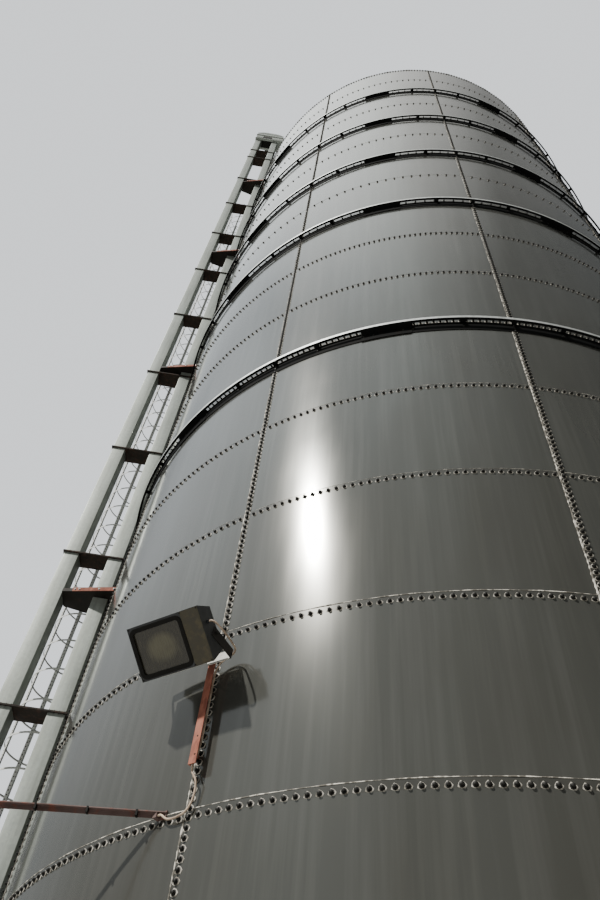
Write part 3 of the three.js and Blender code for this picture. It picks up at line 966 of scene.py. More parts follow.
class Finishes:
    """Every finish of the silo, each made once."""

    def __init__(self) -> None:
        """Builds the materials."""
        # Glass fired on steel plate: dark, and as glossy as a mirror
        self.enamel = FusedEnamelOnSteel().build("fused_enamel_on_rolled_steel")
        # Mastic pressed from a gun: matt and uneven, white where it is clean, grey where dirt sticks
        self.sealant = TwoToneCoat("d9d6cc", "67645c", patch=0.05, clean=0.42).build("gunned_lap_sealant")
        # The same mastic squeezed out under a washer: duller and dirtier
        self.collar = TwoToneCoat("b9b6ad", "7c786e", patch=0.04, clean=0.46).build("squeezed_bolt_sealant")
        # Extruded plastic, faded by the sun: pale and slightly ribbed by its cores
        self.cable = TwoToneCoat(
            "cdb9a4", "8d7a68", patch=0.08, clean=0.4, soft=0.3, detail=3, roughness=0.55,
            lump=(0.006, 0.0006, 0.4),
        ).build("faded_cable_sheath")
        # Forged heads under a dull cap: nearly black, with little shine
        self.bolt = WeatheredSteel(
            "12120f", "1d1d1a", "2c221b", 0.15, roughness=(0.5, 0.65), blot_size=0.05, grain=0.004, gloss=0.3
        ).build("capped_bolt_steel")
        # Pressed angle, near black as painted shade of its shaded web and flange undersides: matt at every
        # angle
        self.angle = WeatheredSteel(
            "0d0e0e", "151717", "2a201b", 0.1, roughness=(0.7, 0.85), blot_size=0.3, gloss=0.05
        ).build("pressed_angle_painted_shade")
        # Zinc made pale as painted sunlight on the lip's edge: a pale line round each ring
        self.lip = SpangledZinc("c3c8c8", "d4d9d9", "9da29f").build("zinc_lip_painted_sunlit")
        # Folded zinc sheet under grain dust: dull grey-green with faint crystals
        self.casing = SpangledZinc("9ba29d", "a8afa9", "787c74").build("dusty_zinc_casing")
        # Zinc strip gone chalky, and paler still as painted sunlight: nearly white
        self.cage = WeatheredSteel("e4e6e4", "cfd2cf", "8a7f74", 0.1).build("chalky_zinc_strip_painted_sunlit")
        # Hot dipped zinc on thick steel: mid grey with small crystals
        self.zinc = SpangledZinc("9ea5a5", "b4baba", "74776f", crystal=0.012).build("hot_dipped_zinc")
        # Rolled zinc sheet, dulled by rain: soft grey panels
        self.roof = SpangledZinc("9aa19f", "adb3b1", "7d817b").build("weathered_roof_sheet")
        # Brushed-on paint gone dull: brown-black with some rust
        self.dark = WeatheredSteel(
            "191713", "26231e", "3f2b20", 0.2, roughness=(0.55, 0.75), blot_size=0.2, gloss=0.2
        ).build("dark_weathered_paint")
        # Cut plate under old paint: dark, with rusty edges
        self.joint = WeatheredSteel(
            "221e19", "332c26", "54382b", 0.35, roughness=(0.6, 0.8), blot_size=0.12, gloss=0.2
        ).build("rust_edged_joint_plate")
        # Red primer that rust has come through: matt orange-brown
        self.rust = WeatheredSteel(
            "9a5f4e", "7f4a3d", "b0705a", 0.45, roughness=(0.7, 0.9), blot_size=0.12, grain=0.006
        ).build("rusted_red_primer")
        # Bare rolled bar, rusted brown: duller and darker than the primer
        self.arm_rust = WeatheredSteel(
            "6f5c58", "5c4a45", "8a4f3e", 0.35, metallic=0.15, roughness=(0.65, 0.85), blot_size=0.14,
            grain=0.006,
        ).build("brown_rusted_arm_steel")
        # Powder coat on a cast housing: dark blue-grey with a dusty sheen
        self.lamp_coat = WeatheredSteel("35383b", "2b2d2e", "3d382e", 0.2, blot_size=0.15).build(
            "weathered_lamp_powder_coat"
        )
        # The same coat browned by the sun and the lamp's heat
        self.lamp_face = WeatheredSteel("3e3b2f", "4b4736", "5d553c", 0.35).build("sun_browned_lamp_face")
        # Moulded rubber: black, with hardly a shine; the same black is painted shade on the hood's dark sheets
        # and in open holes
        self.gasket = WeatheredSteel(
            "0f0f0d", "181714", "24221c", 0.1, roughness=(0.6, 0.8), blot_size=0.05, gloss=0.2
        ).build("black_rubber_and_painted_shade")

    def lamp_strap(self, centre: Triple, axes: np.ndarray) -> Material:
        """Returns the floodlight's strap, for a face with that centre and those directions."""
        return StrapSteelWithPaintedShade().build("lamp_strap_with_painted_shade", centre, axes[0])

    def lamp_glass(self, centre: Triple, axes: np.ndarray) -> Material:
        """Returns the floodlight's glass, for a face with that centre and those directions."""
        return DustyFlatGlass().build("fluted_dusty_lamp_glass", centre, axes)


# Sub-assemblies


@dataclass
class ShellPlates:
    """The bolted shell: ten columns of eighteen lapped plates, their sealant and their bolts.

    Attributes:
        finishes: The silo's finishes.
        tuck: How far a plate's bottom lies behind the one below it, in metres.
        gap: From a column's edge to the middle of the upright seam, in degrees.
        row_pitch: Bolt pitch in the dense rows, in degrees, twice as much above them.
        column_pitch: Bolt pitch in the upright seams up to the last dense row, in metres.
        upper_column_pitch: Bolt pitch in the upright seams above it, in metres.
        sunk: How far a washer's underside lies in the shell, in metres.
        edge_row: From the shell's foot or eave to its last row of bolts, in metres.
        edge_column: From the shell's foot or eave to the seams' bolts, in metres.
    """

    finishes: Finishes
    tuck: float = 0.004
    gap: float = 0.004
    row_pitch: float = PLATE_ANGLE / 38
    column_pitch: float = 0.058
    upper_column_pitch: float = 0.09
    sunk: float = 0.002
    edge_row: float = 0.03
    edge_column: float = 0.06

    def column(self, start: float) -> Surface:
        """One column of plates.

        Its section goes up the outside with a step at each lap, and down the inside.

        Args:
            start: Angle of the upright seam that it starts from, in degrees.

        Returns:
            The closed surface.
        """
        seams = np.arange(1, COURSES) * COURSE + LAP
        edges = np.concatenate([[0.0], np.repeat(seams, 2), [EAVE]])
        outside = np.stack([np.tile([RADIUS - self.tuck, RADIUS], COURSES), edges], -1)
        inside = np.array([[RADIUS - WALL, EAVE], [RADIUS - WALL, 0.0]])
        angles = np.linspace(start + self.gap, start + PLATE_ANGLE - self.gap, 31)
        return round_axis(np.concatenate([outside, inside]), angles)

    def row_sealant(self, seam: int) -> Surface:
        """A bead along a lap.

        It is a half oval whose width wavers with the angle as a sum of three sines, and
        which is thinner from the fifth seam up.

        Args:
            seam: The lap's number.

        Returns:
            The closed surface.
        """
        steps = 720 if seam <= DENSE_SEAMS else 300
        turn = np.radians(FIRST_SEAM + np.arange(steps) * 360 / steps)[:, None]
        waver = 1 + 0.28 * np.sin(53 * turn + seam) + 0.2 * np.sin(131 * turn + 2 * seam)
        waver += 0.15 * np.sin(283 * turn)
        waver *= 0.8 if seam < THIN_SEAM else 0.35
        radius = RADIUS + ROW_BEAD[None, :, 0] * waver
        z = seam * COURSE + LAP + ROW_BEAD[None, :, 1] * waver
        return swept(np.stack([radius * np.cos(turn), radius * np.sin(turn), z], -1), closed=True)

    def column_sealant(self, start: float) -> Surface:
        """A bead up an upright seam.

        Its width wavers with the height as a sum of three sines, and shrinks to two fifths
        between 8 and 11 metres up.

        Args:
            start: The seam's angle in degrees.

        Returns:
            The closed surface.
        """
        beside, widest = 0.42, 1.2
        z = np.concatenate([np.linspace(0.02, 10, 600), np.linspace(10.03, EAVE - 0.01, 400)])[:, None]
        waver = 1 + 0.3 * np.sin(9.7 * z + start) + 0.25 * np.sin(23.3 * z) + 0.35 * np.sin(108.3 * z)
        waver *= 1 - 0.6 * np.clip((z - 8) / 3, 0, 1)
        radius = RADIUS + COLUMN_BEAD[None, :, 0] * np.minimum(waver, widest)
        turn = math.radians(start - beside) + COLUMN_BEAD[None, :, 1] * waver / RADIUS
        height = np.broadcast_to(z, radius.shape)
        return swept(np.stack([radius * np.cos(turn), radius * np.sin(turn), height], -1))

    def row_bolts(self, seam: int) -> Spots:
        """Places the bolts of a row.

        Args:
            seam: The row's number.

        Returns:
            Their places and directions.
        """
        dense = seam <= DENSE_SEAMS or seam == COURSES
        pitch = self.row_pitch * (1 if dense else 2)
        angles = FIRST_SEAM + np.arange(round(360 / pitch)) * pitch
        inward = {0: self.edge_row, COURSES: -self.edge_row}.get(seam, 0.0)
        return on_shell(angles, seam * COURSE + inward, -self.sunk)

    def column_bolts(self, low: float, high: float, pitch: float) -> Spots:
        """Places the bolts up all upright seams between two heights.

        Args:
            low: The lower height in metres.
            high: The upper height in metres.
            pitch: From bolt to bolt, in metres.

        Returns:
            Their places and directions.
        """
        heights = np.arange(low + pitch / 2, high, pitch)
        seams = FIRST_SEAM + np.arange(PLATES_AROUND) * PLATE_ANGLE
        angles, z = (grid.ravel() for grid in np.meshgrid(seams, heights))
        return on_shell(angles, z, -self.sunk)

    def build(self) -> None:
        """Builds and dresses the shell."""
        kit = self.finishes
        starts = [FIRST_SEAM + index * PLATE_ANGLE for index in range(PLATES_AROUND)]
        for number, start in enumerate(starts, 1):
            replaced = (f"wall_stave_{number:02d}",)
            plates = self.column(start)
            add_piece(f"shell_plates_{number:02d}", plates, kit.enamel, replaced, crease=20)
        rows = [self.row_sealant(seam) for seam in range(1, COURSES)]
        add_piece("lap_sealant", joined(rows), kit.sealant)
        add_piece("seam_sealant", joined([self.column_sealant(s) for s in starts]), kit.sealant)

        split, top = DENSE_SEAMS * COURSE, EAVE - self.edge_column
        plain = [seam for seam in range(COURSES + 1) if seam not in RING_SEAMS]
        middle = range(THIN_SEAM, DENSE_SEAMS + 1)
        sets = {
            "row_bolts_low": (NEAR_BOLT, [self.row_bolts(s) for s in plain if s < THIN_SEAM]),
            "row_bolts_middle": (NEAR_BOLT, [self.row_bolts(s) for s in plain if s in middle]),
            "row_bolts_high": (FAR_BOLT, [self.row_bolts(s) for s in plain if s > DENSE_SEAMS]),
            "ring_row_bolts": (RING_ROW_BOLT, [self.row_bolts(s) for s in RING_SEAMS]),
            "seam_bolts_low": (NEAR_BOLT, [self.column_bolts(self.edge_column, split, self.column_pitch)]),
            "seam_bolts_high": (FAR_BOLT, [self.column_bolts(split, top, self.upper_column_pitch)]),
        }
        collar = SealantCollar().template()
        for name, (shape, groups) in sets.items():
            heads = joined([shape.at(*group) for group in groups])
            add_piece(name, heads, kit.bolt, crease=40)
            blots = joined([scattered(collar, *group) for group in groups])
            add_piece(f"{name}_sealant", blots, kit.collar, crease=50)
        dress(["floor_plate"], kit.enamel)


@dataclass
class StiffenerRing:
    """A pressed steel angle under a lap: a leg on the shell, a slotted flange and an upturned bright lip.

    Attributes:
        number: Its place from the lowest.
        seam: The number of the lap that it stiffens.
        finishes: The silo's finishes.
        reach: How far its flange stands off the shell, in metres.
        steel: Thickness in metres.
        gap: From the shell to the leg, in metres.
        below: From the lap's bolts down to its flange, in metres.
        leg: Height of the leg on the shell, in metres.
        lip: Height of the upturned lip in metres.
        lip_steel: Thickness of the lip in metres.
        strip: Width of the solid strip along the flange's outer edge, in metres.
        heel: Width of the solid strip along the leg, in metres.
        bridge: Width of the steel between two slots, in metres.
        overlap: How far joined pieces go into each other, in metres.
        splice_steel: Thickness of the splice plate in metres.
        splice_drop: How far it goes below the leg, in metres.
    """

    number: int
    seam: int
    finishes: Finishes
    reach: float = 0.078
    steel: float = 0.006
    gap: float = 0.0008
    below: float = 0.050
    leg: float = 0.140
    lip: float = 0.034
    lip_steel: float = 0.005
    strip: float = 0.030
    heel: float = 0.014
    bridge: float = 0.055
    overlap: float = 0.0005
    splice_steel: float = 0.007
    splice_drop: float = 0.010

    def bridges(self, top: float) -> list[Surface]:
        """The steel between the flange's slots, and the doubled splice in each plate's middle.

        Args:
            top: Height of the flange's top in metres.

        Returns:
            The blocks.
        """
        radii = (RADIUS + self.steel - self.overlap, RADIUS + self.reach - self.strip + self.overlap)
        under_radii = (RADIUS + self.steel + self.overlap, RADIUS + self.reach - 0.004)
        half = math.degrees(self.bridge / 2 / RADIUS)
        deep = self.steel + self.splice_steel
        flange = (top - self.steel, top)
        blocks = []
        for plate in range(PLATES_AROUND):
            start = FIRST_SEAM + plate * PLATE_ANGLE
            for cell in (0, 1, 4):
                middle = start + cell * RING_CELL
                blocks.append(curved_block(radii, (middle - half, middle + half), flange))
            splice = (start + 2 * RING_CELL, start + 3 * RING_CELL)
            lap = (splice[0] - half, splice[1] - half * 0.4)
            leg_heights = (top - self.leg - self.splice_drop, top - deep)
            blocks.append(curved_block(radii, splice, flange))
            blocks.append(curved_block(under_radii, lap, (top - deep, top - self.steel + self.overlap)))
            blocks.append(curved_block((RADIUS + self.steel, RADIUS + deep), lap, leg_heights))
        return blocks

    def build(self) -> None:
        """Builds and dresses the ring."""
        top = self.seam * COURSE - self.below
        inner, outer = RADIUS + self.gap, RADIUS + self.reach
        low, under = top - self.leg, top - self.steel
        web = inner + self.steel
        heel = web + self.heel
        inside = outer - self.strip
        leg = full_ring([(inner, low), (web, low), (web, under), (heel, under), (heel, top), (inner, top)])
        edge = full_ring([(inside, under), (outer, under), (outer, top), (inside, top)])
        # The angle's near-black finish is painted shade.
        add_piece(
            f"ring_angle_{self.number}", joined([leg, edge, *self.bridges(top)]), self.finishes.angle,
            (f"stiffener_ring_{self.number}",),
        )
        face = outer + self.overlap
        back, foot, high = face - self.lip_steel, under + 0.001, top + self.lip
        lip = full_ring([(back, foot), (face, foot), (face, high), (back, high)])
        # The lip's pale finish is painted sunlight.
        add_piece(f"ring_lip_{self.number}", lip, self.finishes.lip)
        self.fasteners((low + under) / 2)

    def fasteners(self, height: float) -> None:
        """Adds the bolts through the leg, one under each bridge and more at each splice.

        Args:
            height: Of the bolts, in metres.
        """
        offsets = np.array([0, 1, 2, 2.2, 2.8, 3, 4]) * RING_CELL
        angles = (FIRST_SEAM + np.arange(PLATES_AROUND)[:, None] * PLATE_ANGLE + offsets).ravel()
        bolts = RING_BOLT.at(*on_shell(angles, height, self.steel))
        add_piece(f"ring_bolts_{self.number}", bolts, self.finishes.bolt)


@dataclass
class Roof:
    """The shallow cone of sheet panels, its standing ribs, its eave bolts and its cap.

    Attributes:
        finishes: The silo's finishes.
        panels: Sheets round the cone.
        rib_width: In metres.
        rib_rise: Height of a rib in metres.
        flat: Width of the level rim at the eave, in metres.
        bolts: Round the eave.
        steel: Thickness of the sheet in metres.
        bolt_inset: From the shell's face in to the bolts, in metres.
    """

    finishes: Finishes
    panels: int = 30
    rib_width: float = 0.035
    rib_rise: float = 0.045
    flat: float = 0.07
    bolts: int = 240
    steel: float = 0.008
    bolt_inset: float = 0.03

    def ribs(self) -> Surface:
        """The ribs, each a bar that runs up the slope from the eave to the cap.

        Returns:
            All ribs in one surface.
        """
        overlap = 0.03
        heights = np.array([EAVE + self.steel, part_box("roof_cone")[1].z])
        radii = np.array([RADIUS - self.flat - overlap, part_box("roof_cap")[1].x + overlap])
        rise = UP * self.rib_rise / 2
        parts = []
        for index in range(self.panels):
            out = bearing(FIRST_SEAM + (index + 0.5) * 360 / self.panels)
            side = np.array([-out[1], out[0], 0]) * self.rib_width / 2
            line = out[None] * radii[:, None] + UP * heights[:, None]
            parts.append(bar(line + rise, side, rise))
        return joined(parts)

    def build(self) -> None:
        """Builds and dresses the roof."""
        dress(["roof_cone", "roof_cap"], self.finishes.roof)
        add_piece("roof_ribs", self.ribs(), self.finishes.roof)
        angles = FIRST_SEAM + np.arange(self.bolts) * 360 / self.bolts
        places, _ = on_shell(angles, EAVE + self.steel + 0.0005, -self.bolt_inset)
        add_piece("eave_bolts", EAVE_BOLT.at(places, UP), self.finishes.bolt)


@dataclass
class BaseRing:
    """The angle ring at the foot of the shell and its anchor bolts.

    Attributes:
        finishes: The silo's finishes.
        anchors: Bolts round it.
        steel: Thickness of its foot in metres.
        stand: From the shell to the bolts, in metres.
    """

    finishes: Finishes
    anchors: int = 60
    steel: float = 0.012
    stand: float = 0.068

    def build(self) -> None:
        """Builds and dresses the ring."""
        dress(["base_angle_ring"], self.finishes.zinc)
        angles = FIRST_SEAM + (np.arange(self.anchors) + 0.5) * 360 / self.anchors
        places, _ = on_shell(angles, self.steel, self.stand)
        add_piece("anchor_bolts", ANCHOR_BOLT.at(places, UP), self.finishes.zinc)


@dataclass
class Elevator:
    """The bucket elevator: two sheet casings with flanged joints, boot, head, drive and spout.

    Attributes:
        finishes: The silo's finishes.
        flange_reach: How far a joint plate stands out from the casings, in metres.
        flange_steel: Thickness of a joint plate in metres.
        joint_gap: From the joint's plane to each plate, in metres.
        corner: Radius of the casings' folded edges in metres.
        hood_inset: From the hood's box to its front sheet, in metres.
        band_heights: From the hood's bottom to the lowest band, from its top to the highest, and their height.
        shade_patch: Left, right, low and high edge of the painted shade patch on the hood's front, from the
            casings' gap and the hood's bottom.
    """

    finishes: Finishes
    flange_reach: float = 0.022
    flange_steel: float = 0.010
    joint_gap: float = 0.0008
    corner: float = 0.006
    hood_inset: float = 0.018
    band_heights: Triple = (0.12, 0.2, 0.022)
    shade_patch: tuple[float, float, float, float] = (0.04, 0.02, 0.03, 0.34)

    def trunks(self, low: float, high: float) -> Surface:
        """Both casings between two heights, each an upright box with rounded edges.

        Args:
            low: Their bottom in metres.
            high: Their top in metres.

        Returns:
            The closed surfaces in one.
        """
        half = (TRUNK_WIDTH / 2, TRUNK_DEPTH / 2)
        rings = [rounded_outline((x, 0.0), half, self.corner) for x in TRUNK_X]
        return joined([swept(stacked([ring, ring], (low, high))) for ring in rings])

    def flange(self, height: float) -> Surface:
        """The pair of plates at a joint, each across both casings and the gap between them.

        Args:
            height: Of the joint, in metres.

        Returns:
            Both plates.
        """
        left = TRUNK_X[0] - TRUNK_WIDTH / 2 - self.flange_reach
        right = TRUNK_X[1] + TRUNK_WIDTH / 2 + self.flange_reach
        side = TRUNK_DEPTH / 2 + self.flange_reach
        steel, gap = self.flange_steel, self.joint_gap
        spans = ((height - steel, height - gap), (height + gap, height + steel))
        return joined([box((left, -side, low), (right, side, high)) for low, high in spans])

    def flange_bolts(self, heights: np.ndarray) -> Surface:
        """The bolts in the rim of every joint plate, above and below it.

        Args:
            heights: Of the joints, in metres.

        Returns:
            All bolts in one surface.
        """
        side = TRUNK_DEPTH / 2 + self.flange_reach / 2
        across = (np.array(TRUNK_X)[:, None] + np.linspace(-0.5, 0.5, 4) * (TRUNK_WIDTH - 0.02)).ravel()
        z, x, y = np.meshgrid(heights, across, [-side, side], indexing="ij")
        spots = np.stack([x, y, z], -1).reshape(-1, 3)
        lift = UP * self.flange_steel
        return joined([JOINT_BOLT.at(spots + lift, UP), JOINT_BOLT.at(spots - lift, -UP)])

    def hood_bands(self) -> Surface:
        """The three dark bands across the hood's front.

        Returns:
            The closed surfaces in one.
        """
        low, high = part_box("head_hood")
        front, margin = low.y + self.hood_inset, 0.02
        first, last, band = self.band_heights
        return joined([
            box((low.x + margin, front - 0.004, z), (high.x - margin, front + 0.001, z + band))
            for z in np.linspace(low.z + first, high.z - last, 3)
        ])

    def hood_painted_shade(self) -> Surface:
        """Dark sheets as painted shade: a patch on the hood's front and an underside between the casings.

        Returns:
            The closed surfaces in one.
        """
        low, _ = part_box("head_hood")
        left, right = TRUNK_X[0] + TRUNK_WIDTH / 2 + 0.01, TRUNK_X[1] - TRUNK_WIDTH / 2 - 0.01
        front, deep = low.y + self.hood_inset, TRUNK_DEPTH / 2
        start, end, foot, top = self.shade_patch
        return joined([
            box((left, -deep, low.z - 0.006), (right, deep, low.z - 0.001)),
            box((left + start, front - 0.006, low.z + foot), (right - end, front + 0.001, low.z + top)),
        ])

    def build(self) -> None:
        """Builds and dresses the elevator."""
        kit = self.finishes
        floors = [BOOT_TOP + index * SECTION for index in range(SECTIONS + 1)]
        spans = [
            (f"casings_{number:02d}", f"elevator_section_{number:02d}", low + 0.001, low + SECTION)
            for number, low in enumerate(floors[:-1], 1)
        ]
        spans.append(("casings_neck", "elevator_neck", NECK, NECK_TOP))
        spans.append(("casings_head", "elevator_head", NECK_TOP, HEAD_BASE))
        for name, node, low, high in spans:
            add_piece(name, self.trunks(low, high), kit.casing, (node,))
        joints = np.array([*floors[1:], NECK_TOP])
        add_piece("joint_plates", joined([self.flange(z) for z in joints]), kit.joint)
        add_piece("joint_bolts", self.flange_bolts(joints), kit.bolt)
        add_piece("hood_bands", self.hood_bands(), kit.dark)
        add_piece("hood_painted_shade", self.hood_painted_shade(), kit.gasket)
        dress(["elevator_boot", "intake_hopper", "head_hood", "discharge_spout"], kit.casing)
        dress(["drive_motor"], kit.dark)


@dataclass
class ShellTies:
    """The plates that tie the elevator to the shell, with their rusty front bars and bolts.

    Attributes:
        finishes: The silo's finishes.
        corner: Outer end of a tie's front edge, in x and y, in metres.
        root: Its end at the shell.
        span: Shares of that edge between which the bar lies.
        bolts: Shares of that edge at which its bolts are.
        rise: Height of the bar in metres.
        steel: Thickness of the bar in metres.
        seat: From the tie's middle down to the bar's underside, in metres.
        gap: From the tie to the bar, in metres.
        bolt_rise: From the tie's middle up to the bolts, in metres.
        top_drop: From the top tie's highest point down to its plate, in metres.
    """

    finishes: Finishes
    corner: Pair = (-5.0082, -0.150)
    root: Pair = (-4.210, -0.335)
    span: Pair = (0.17, 0.885)
    bolts: tuple[float, ...] = (0.21, 0.28, 0.6, 0.84)
    rise: float = 0.058
    steel: float = 0.009
    seat: float = 0.006
    gap: float = 0.0004
    bolt_rise: float = 0.024
    top_drop: float = 0.05

    def front(self, level: float, shares: tuple[float, ...]) -> Spots:
        """Points along a tie's front edge.

        Args:
            level: Their height in metres.
            shares: How far along the edge each is, from 0 to 1.

        Returns:
            The points, and the unit direction out of the tie.
        """
        start, end = np.array([(*self.corner, level), (*self.root, level)])
        along = end - start
        out = np.array([along[1], -along[0], 0]) / np.linalg.norm(along)
        return start + np.array(shares)[:, None] * along, out

    def front_bar(self, level: float) -> Surface:
        """Returns the flat bar bolted along a tie's front edge at a height in metres."""
        path, out = self.front(level + self.rise / 2 - self.seat, self.span)
        return bar(path + out * (self.steel / 2 + self.gap), -out * self.steel / 2, UP * self.rise / 2)

    def front_bolts(self, level: float) -> Surface:
        """Returns the bolts through a tie's front bar and on its end at the shell."""
        places, out = self.front(level + self.bolt_rise, self.bolts)
        return TIE_BOLT.at(places + out * self.steel, out)

    def build(self) -> None:
        """Builds and dresses the ties."""
        names = [f"elevator_tie_{index}" for index in range(1, 6)]
        dress(names, self.finishes.dark)
        boxes = [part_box(name) for name in names]
        levels = [(low.z + high.z) / 2 for low, high in boxes[:4]] + [boxes[4][1].z - self.top_drop]
        bars = joined([self.front_bar(z) for z in levels])
        add_piece("tie_front_bars", bars, self.finishes.rust)
        bolts = joined([self.front_bolts(z) for z in levels])
        add_piece("tie_bolts", bolts, self.finishes.zinc)


@dataclass
class CagedLadder:
    """The ladder and its safety cage, with smooth hoops and bolted straps.

    Attributes:
        finishes: The silo's finishes.
        angle: Where it stands round the shell, in degrees.
        centre: From the shell to the middle of the cage, in metres.
        radius: Outer radius of a hoop in metres.
        thickness: Of a hoop, in metres.
        width: Height of a hoop's strip in metres.
        strap_width: In metres.
        strap_steel: Thickness of a strap in metres.
        strap_gap: From a hoop to a strap, in metres.
        straps: Their angles round the cage, in degrees.
        sweep: How far round a hoop goes, in degrees.
        pitch: From hoop to hoop, in metres.
        hoops: How many there are.
        bottom: Height of the straps' lower ends in metres.
        hole_pitch: From hole to hole in a strap, in metres.
        hole_radius: In metres.
        first_hole: From a strap's lower end to its first hole, in metres.
        stile: Where a hoop ends on the ladder, out of the shell and along it, in metres.
    """

    finishes: Finishes
    angle: float = 172.3
    centre: float = 0.525
    radius: float = 0.400
    thickness: float = 0.006
    width: float = 0.022
    strap_width: float = 0.035
    strap_steel: float = 0.005
    strap_gap: float = 0.0005
    straps: tuple[float, ...] = (-90.0, -45.0, 0.0, 45.0, 90.0)
    sweep: float = 250.0
    pitch: float = 0.430
    hoops: int = 50
    bottom: float = 2.66
    hole_pitch: float = 0.05
    hole_radius: float = 0.0075
    first_hole: float = 0.03
    stile: Pair = (0.2903, 0.242)

    def hoop(self, z: float) -> Surface:
        """One hoop: a strip on a circular arc, with straight ends to the stiles.

        Args:
            z: Its height in metres.

        Returns:
            The closed surface.
        """
        middle = self.radius - self.thickness / 2
        out = bearing(np.linspace(-self.sweep / 2, self.sweep / 2, 33))
        arc = out * middle + np.array([RADIUS + self.centre, 0, z])
        foot_x, foot_y = RADIUS + self.stile[0], self.stile[1] - self.thickness / 2
        path = np.concatenate([[(foot_x, -foot_y, z)], arc, [(foot_x, foot_y, z)]])
        across = np.concatenate([[(-0.2, -0.98, 0)], out, [(-0.2, 0.98, 0)]])
        return bar(path, across * self.thickness / 2, UP * self.width / 2)

    def up_strap(self, degrees: float, inward: float, heights: np.ndarray) -> Spots:
        """Points up a strap.

        Args:
            degrees: The strap's angle round the cage.
            inward: From the hoops' inner face to the points, in metres.
            heights: Of the points, in metres.

        Returns:
            The points, and the unit direction out of the cage.
        """
        out = bearing(degrees)
        foot = np.array([RADIUS + self.centre, 0, 0]) + out * (self.radius - self.thickness - inward)
        return foot + UP * np.asarray(heights)[:, None], out

    def strap(self, degrees: float, low: float, high: float) -> Surface:
        """One upright strap inside the hoops.

        Args:
            degrees: Its angle round the cage.
            low: Its bottom in metres.
            high: Its top in metres.

        Returns:
            The closed surface.
        """
        path, out = self.up_strap(degrees, self.strap_gap + self.strap_steel / 2, (low, high))
        return bar(path, np.array([-out[1], out[0], 0]) * self.strap_width / 2, out * self.strap_steel / 2)

    def strap_bolts(self, degrees: float, heights: np.ndarray) -> Surface:
        """Returns the bolts that hold a strap to each hoop, on its inner face."""
        places, out = self.up_strap(degrees, self.strap_gap + self.strap_steel, heights)
        return CAGE_BOLT.at(places, -out)

    def strap_holes(self, degrees: float, heights: np.ndarray) -> Surface:
        """The holes punched along a strap, as dark six-sided plugs of painted shade that show on both of its
        faces.

        Args:
            degrees: The strap's angle round the cage.
            heights: Of the holes, in metres.

        Returns:
            All plugs in one surface.
        """
        proud = UP * (self.strap_steel / 2 + 0.0006)
        circle = bearing(np.arange(6) * 60) * self.hole_radius
        plug = swept(np.stack([circle - proud, circle + proud]))
        return scattered(plug, *self.up_strap(degrees, self.strap_gap + self.strap_steel / 2, heights))

    def build(self) -> None:
        """Builds and dresses the ladder and its cage."""
        axes, kit = wall_axes(self.angle), self.finishes
        top = self.bottom + self.pitch * self.hoops
        heights = self.bottom + self.pitch / 2 + np.arange(self.hoops) * self.pitch
        holes = np.arange(self.bottom + self.first_hole, top, self.hole_pitch)
        for number, levels in enumerate(np.split(heights, 2), 1):
            hoops = joined([self.hoop(z) for z in levels]).moved(axes)
            add_piece(f"cage_hoops_{number}", hoops, kit.cage, (f"ladder_cage_{number}",))
        straps = joined([self.strap(a, self.bottom, top) for a in self.straps])
        add_piece("cage_straps", straps.moved(axes), kit.cage)
        bolts = joined([self.strap_bolts(a, heights) for a in self.straps])
        add_piece("cage_bolts", bolts.moved(axes), kit.bolt)
        plugs = joined([self.strap_holes(a, holes) for a in self.straps])
        add_piece("cage_strap_holes", plugs.moved(axes), kit.gasket)
        dress(["ladder_1", "ladder_2"], kit.zinc)


# The cable's route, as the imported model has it: degrees round the shell, and mm off it and up it
CABLE_ROUTE = (
    (-126.47, 380, 5012), (-126.2, 352, 4990), (-126.05, 300, 4975), (-126.1, 235, 4975),
    (-126.3, 165, 4985), (-126.52, 105, 4992), (-126.82, 76, 4991), (-127.2, 60, 4988),
    (-127.8, 51, 4980), (-128.5, 46, 4960), (-128.9, 44, 4915), (-129, 44, 4840),
    (-129, 44, 4660), (-129, 44, 4480), (-129.05, 45, 4350), (-129.22, 46, 4270),
    (-129.42, 46, 4224), (-129.34, 47, 4181), (-129.08, 45, 4150), (-128.86, 40, 4118),
    (-128.83, 32, 4065), (-128.98, 30, 3997), (-129.4, 30, 3947), (-130.2, 30, 3924),
    (-131.2, 30, 3926),
)


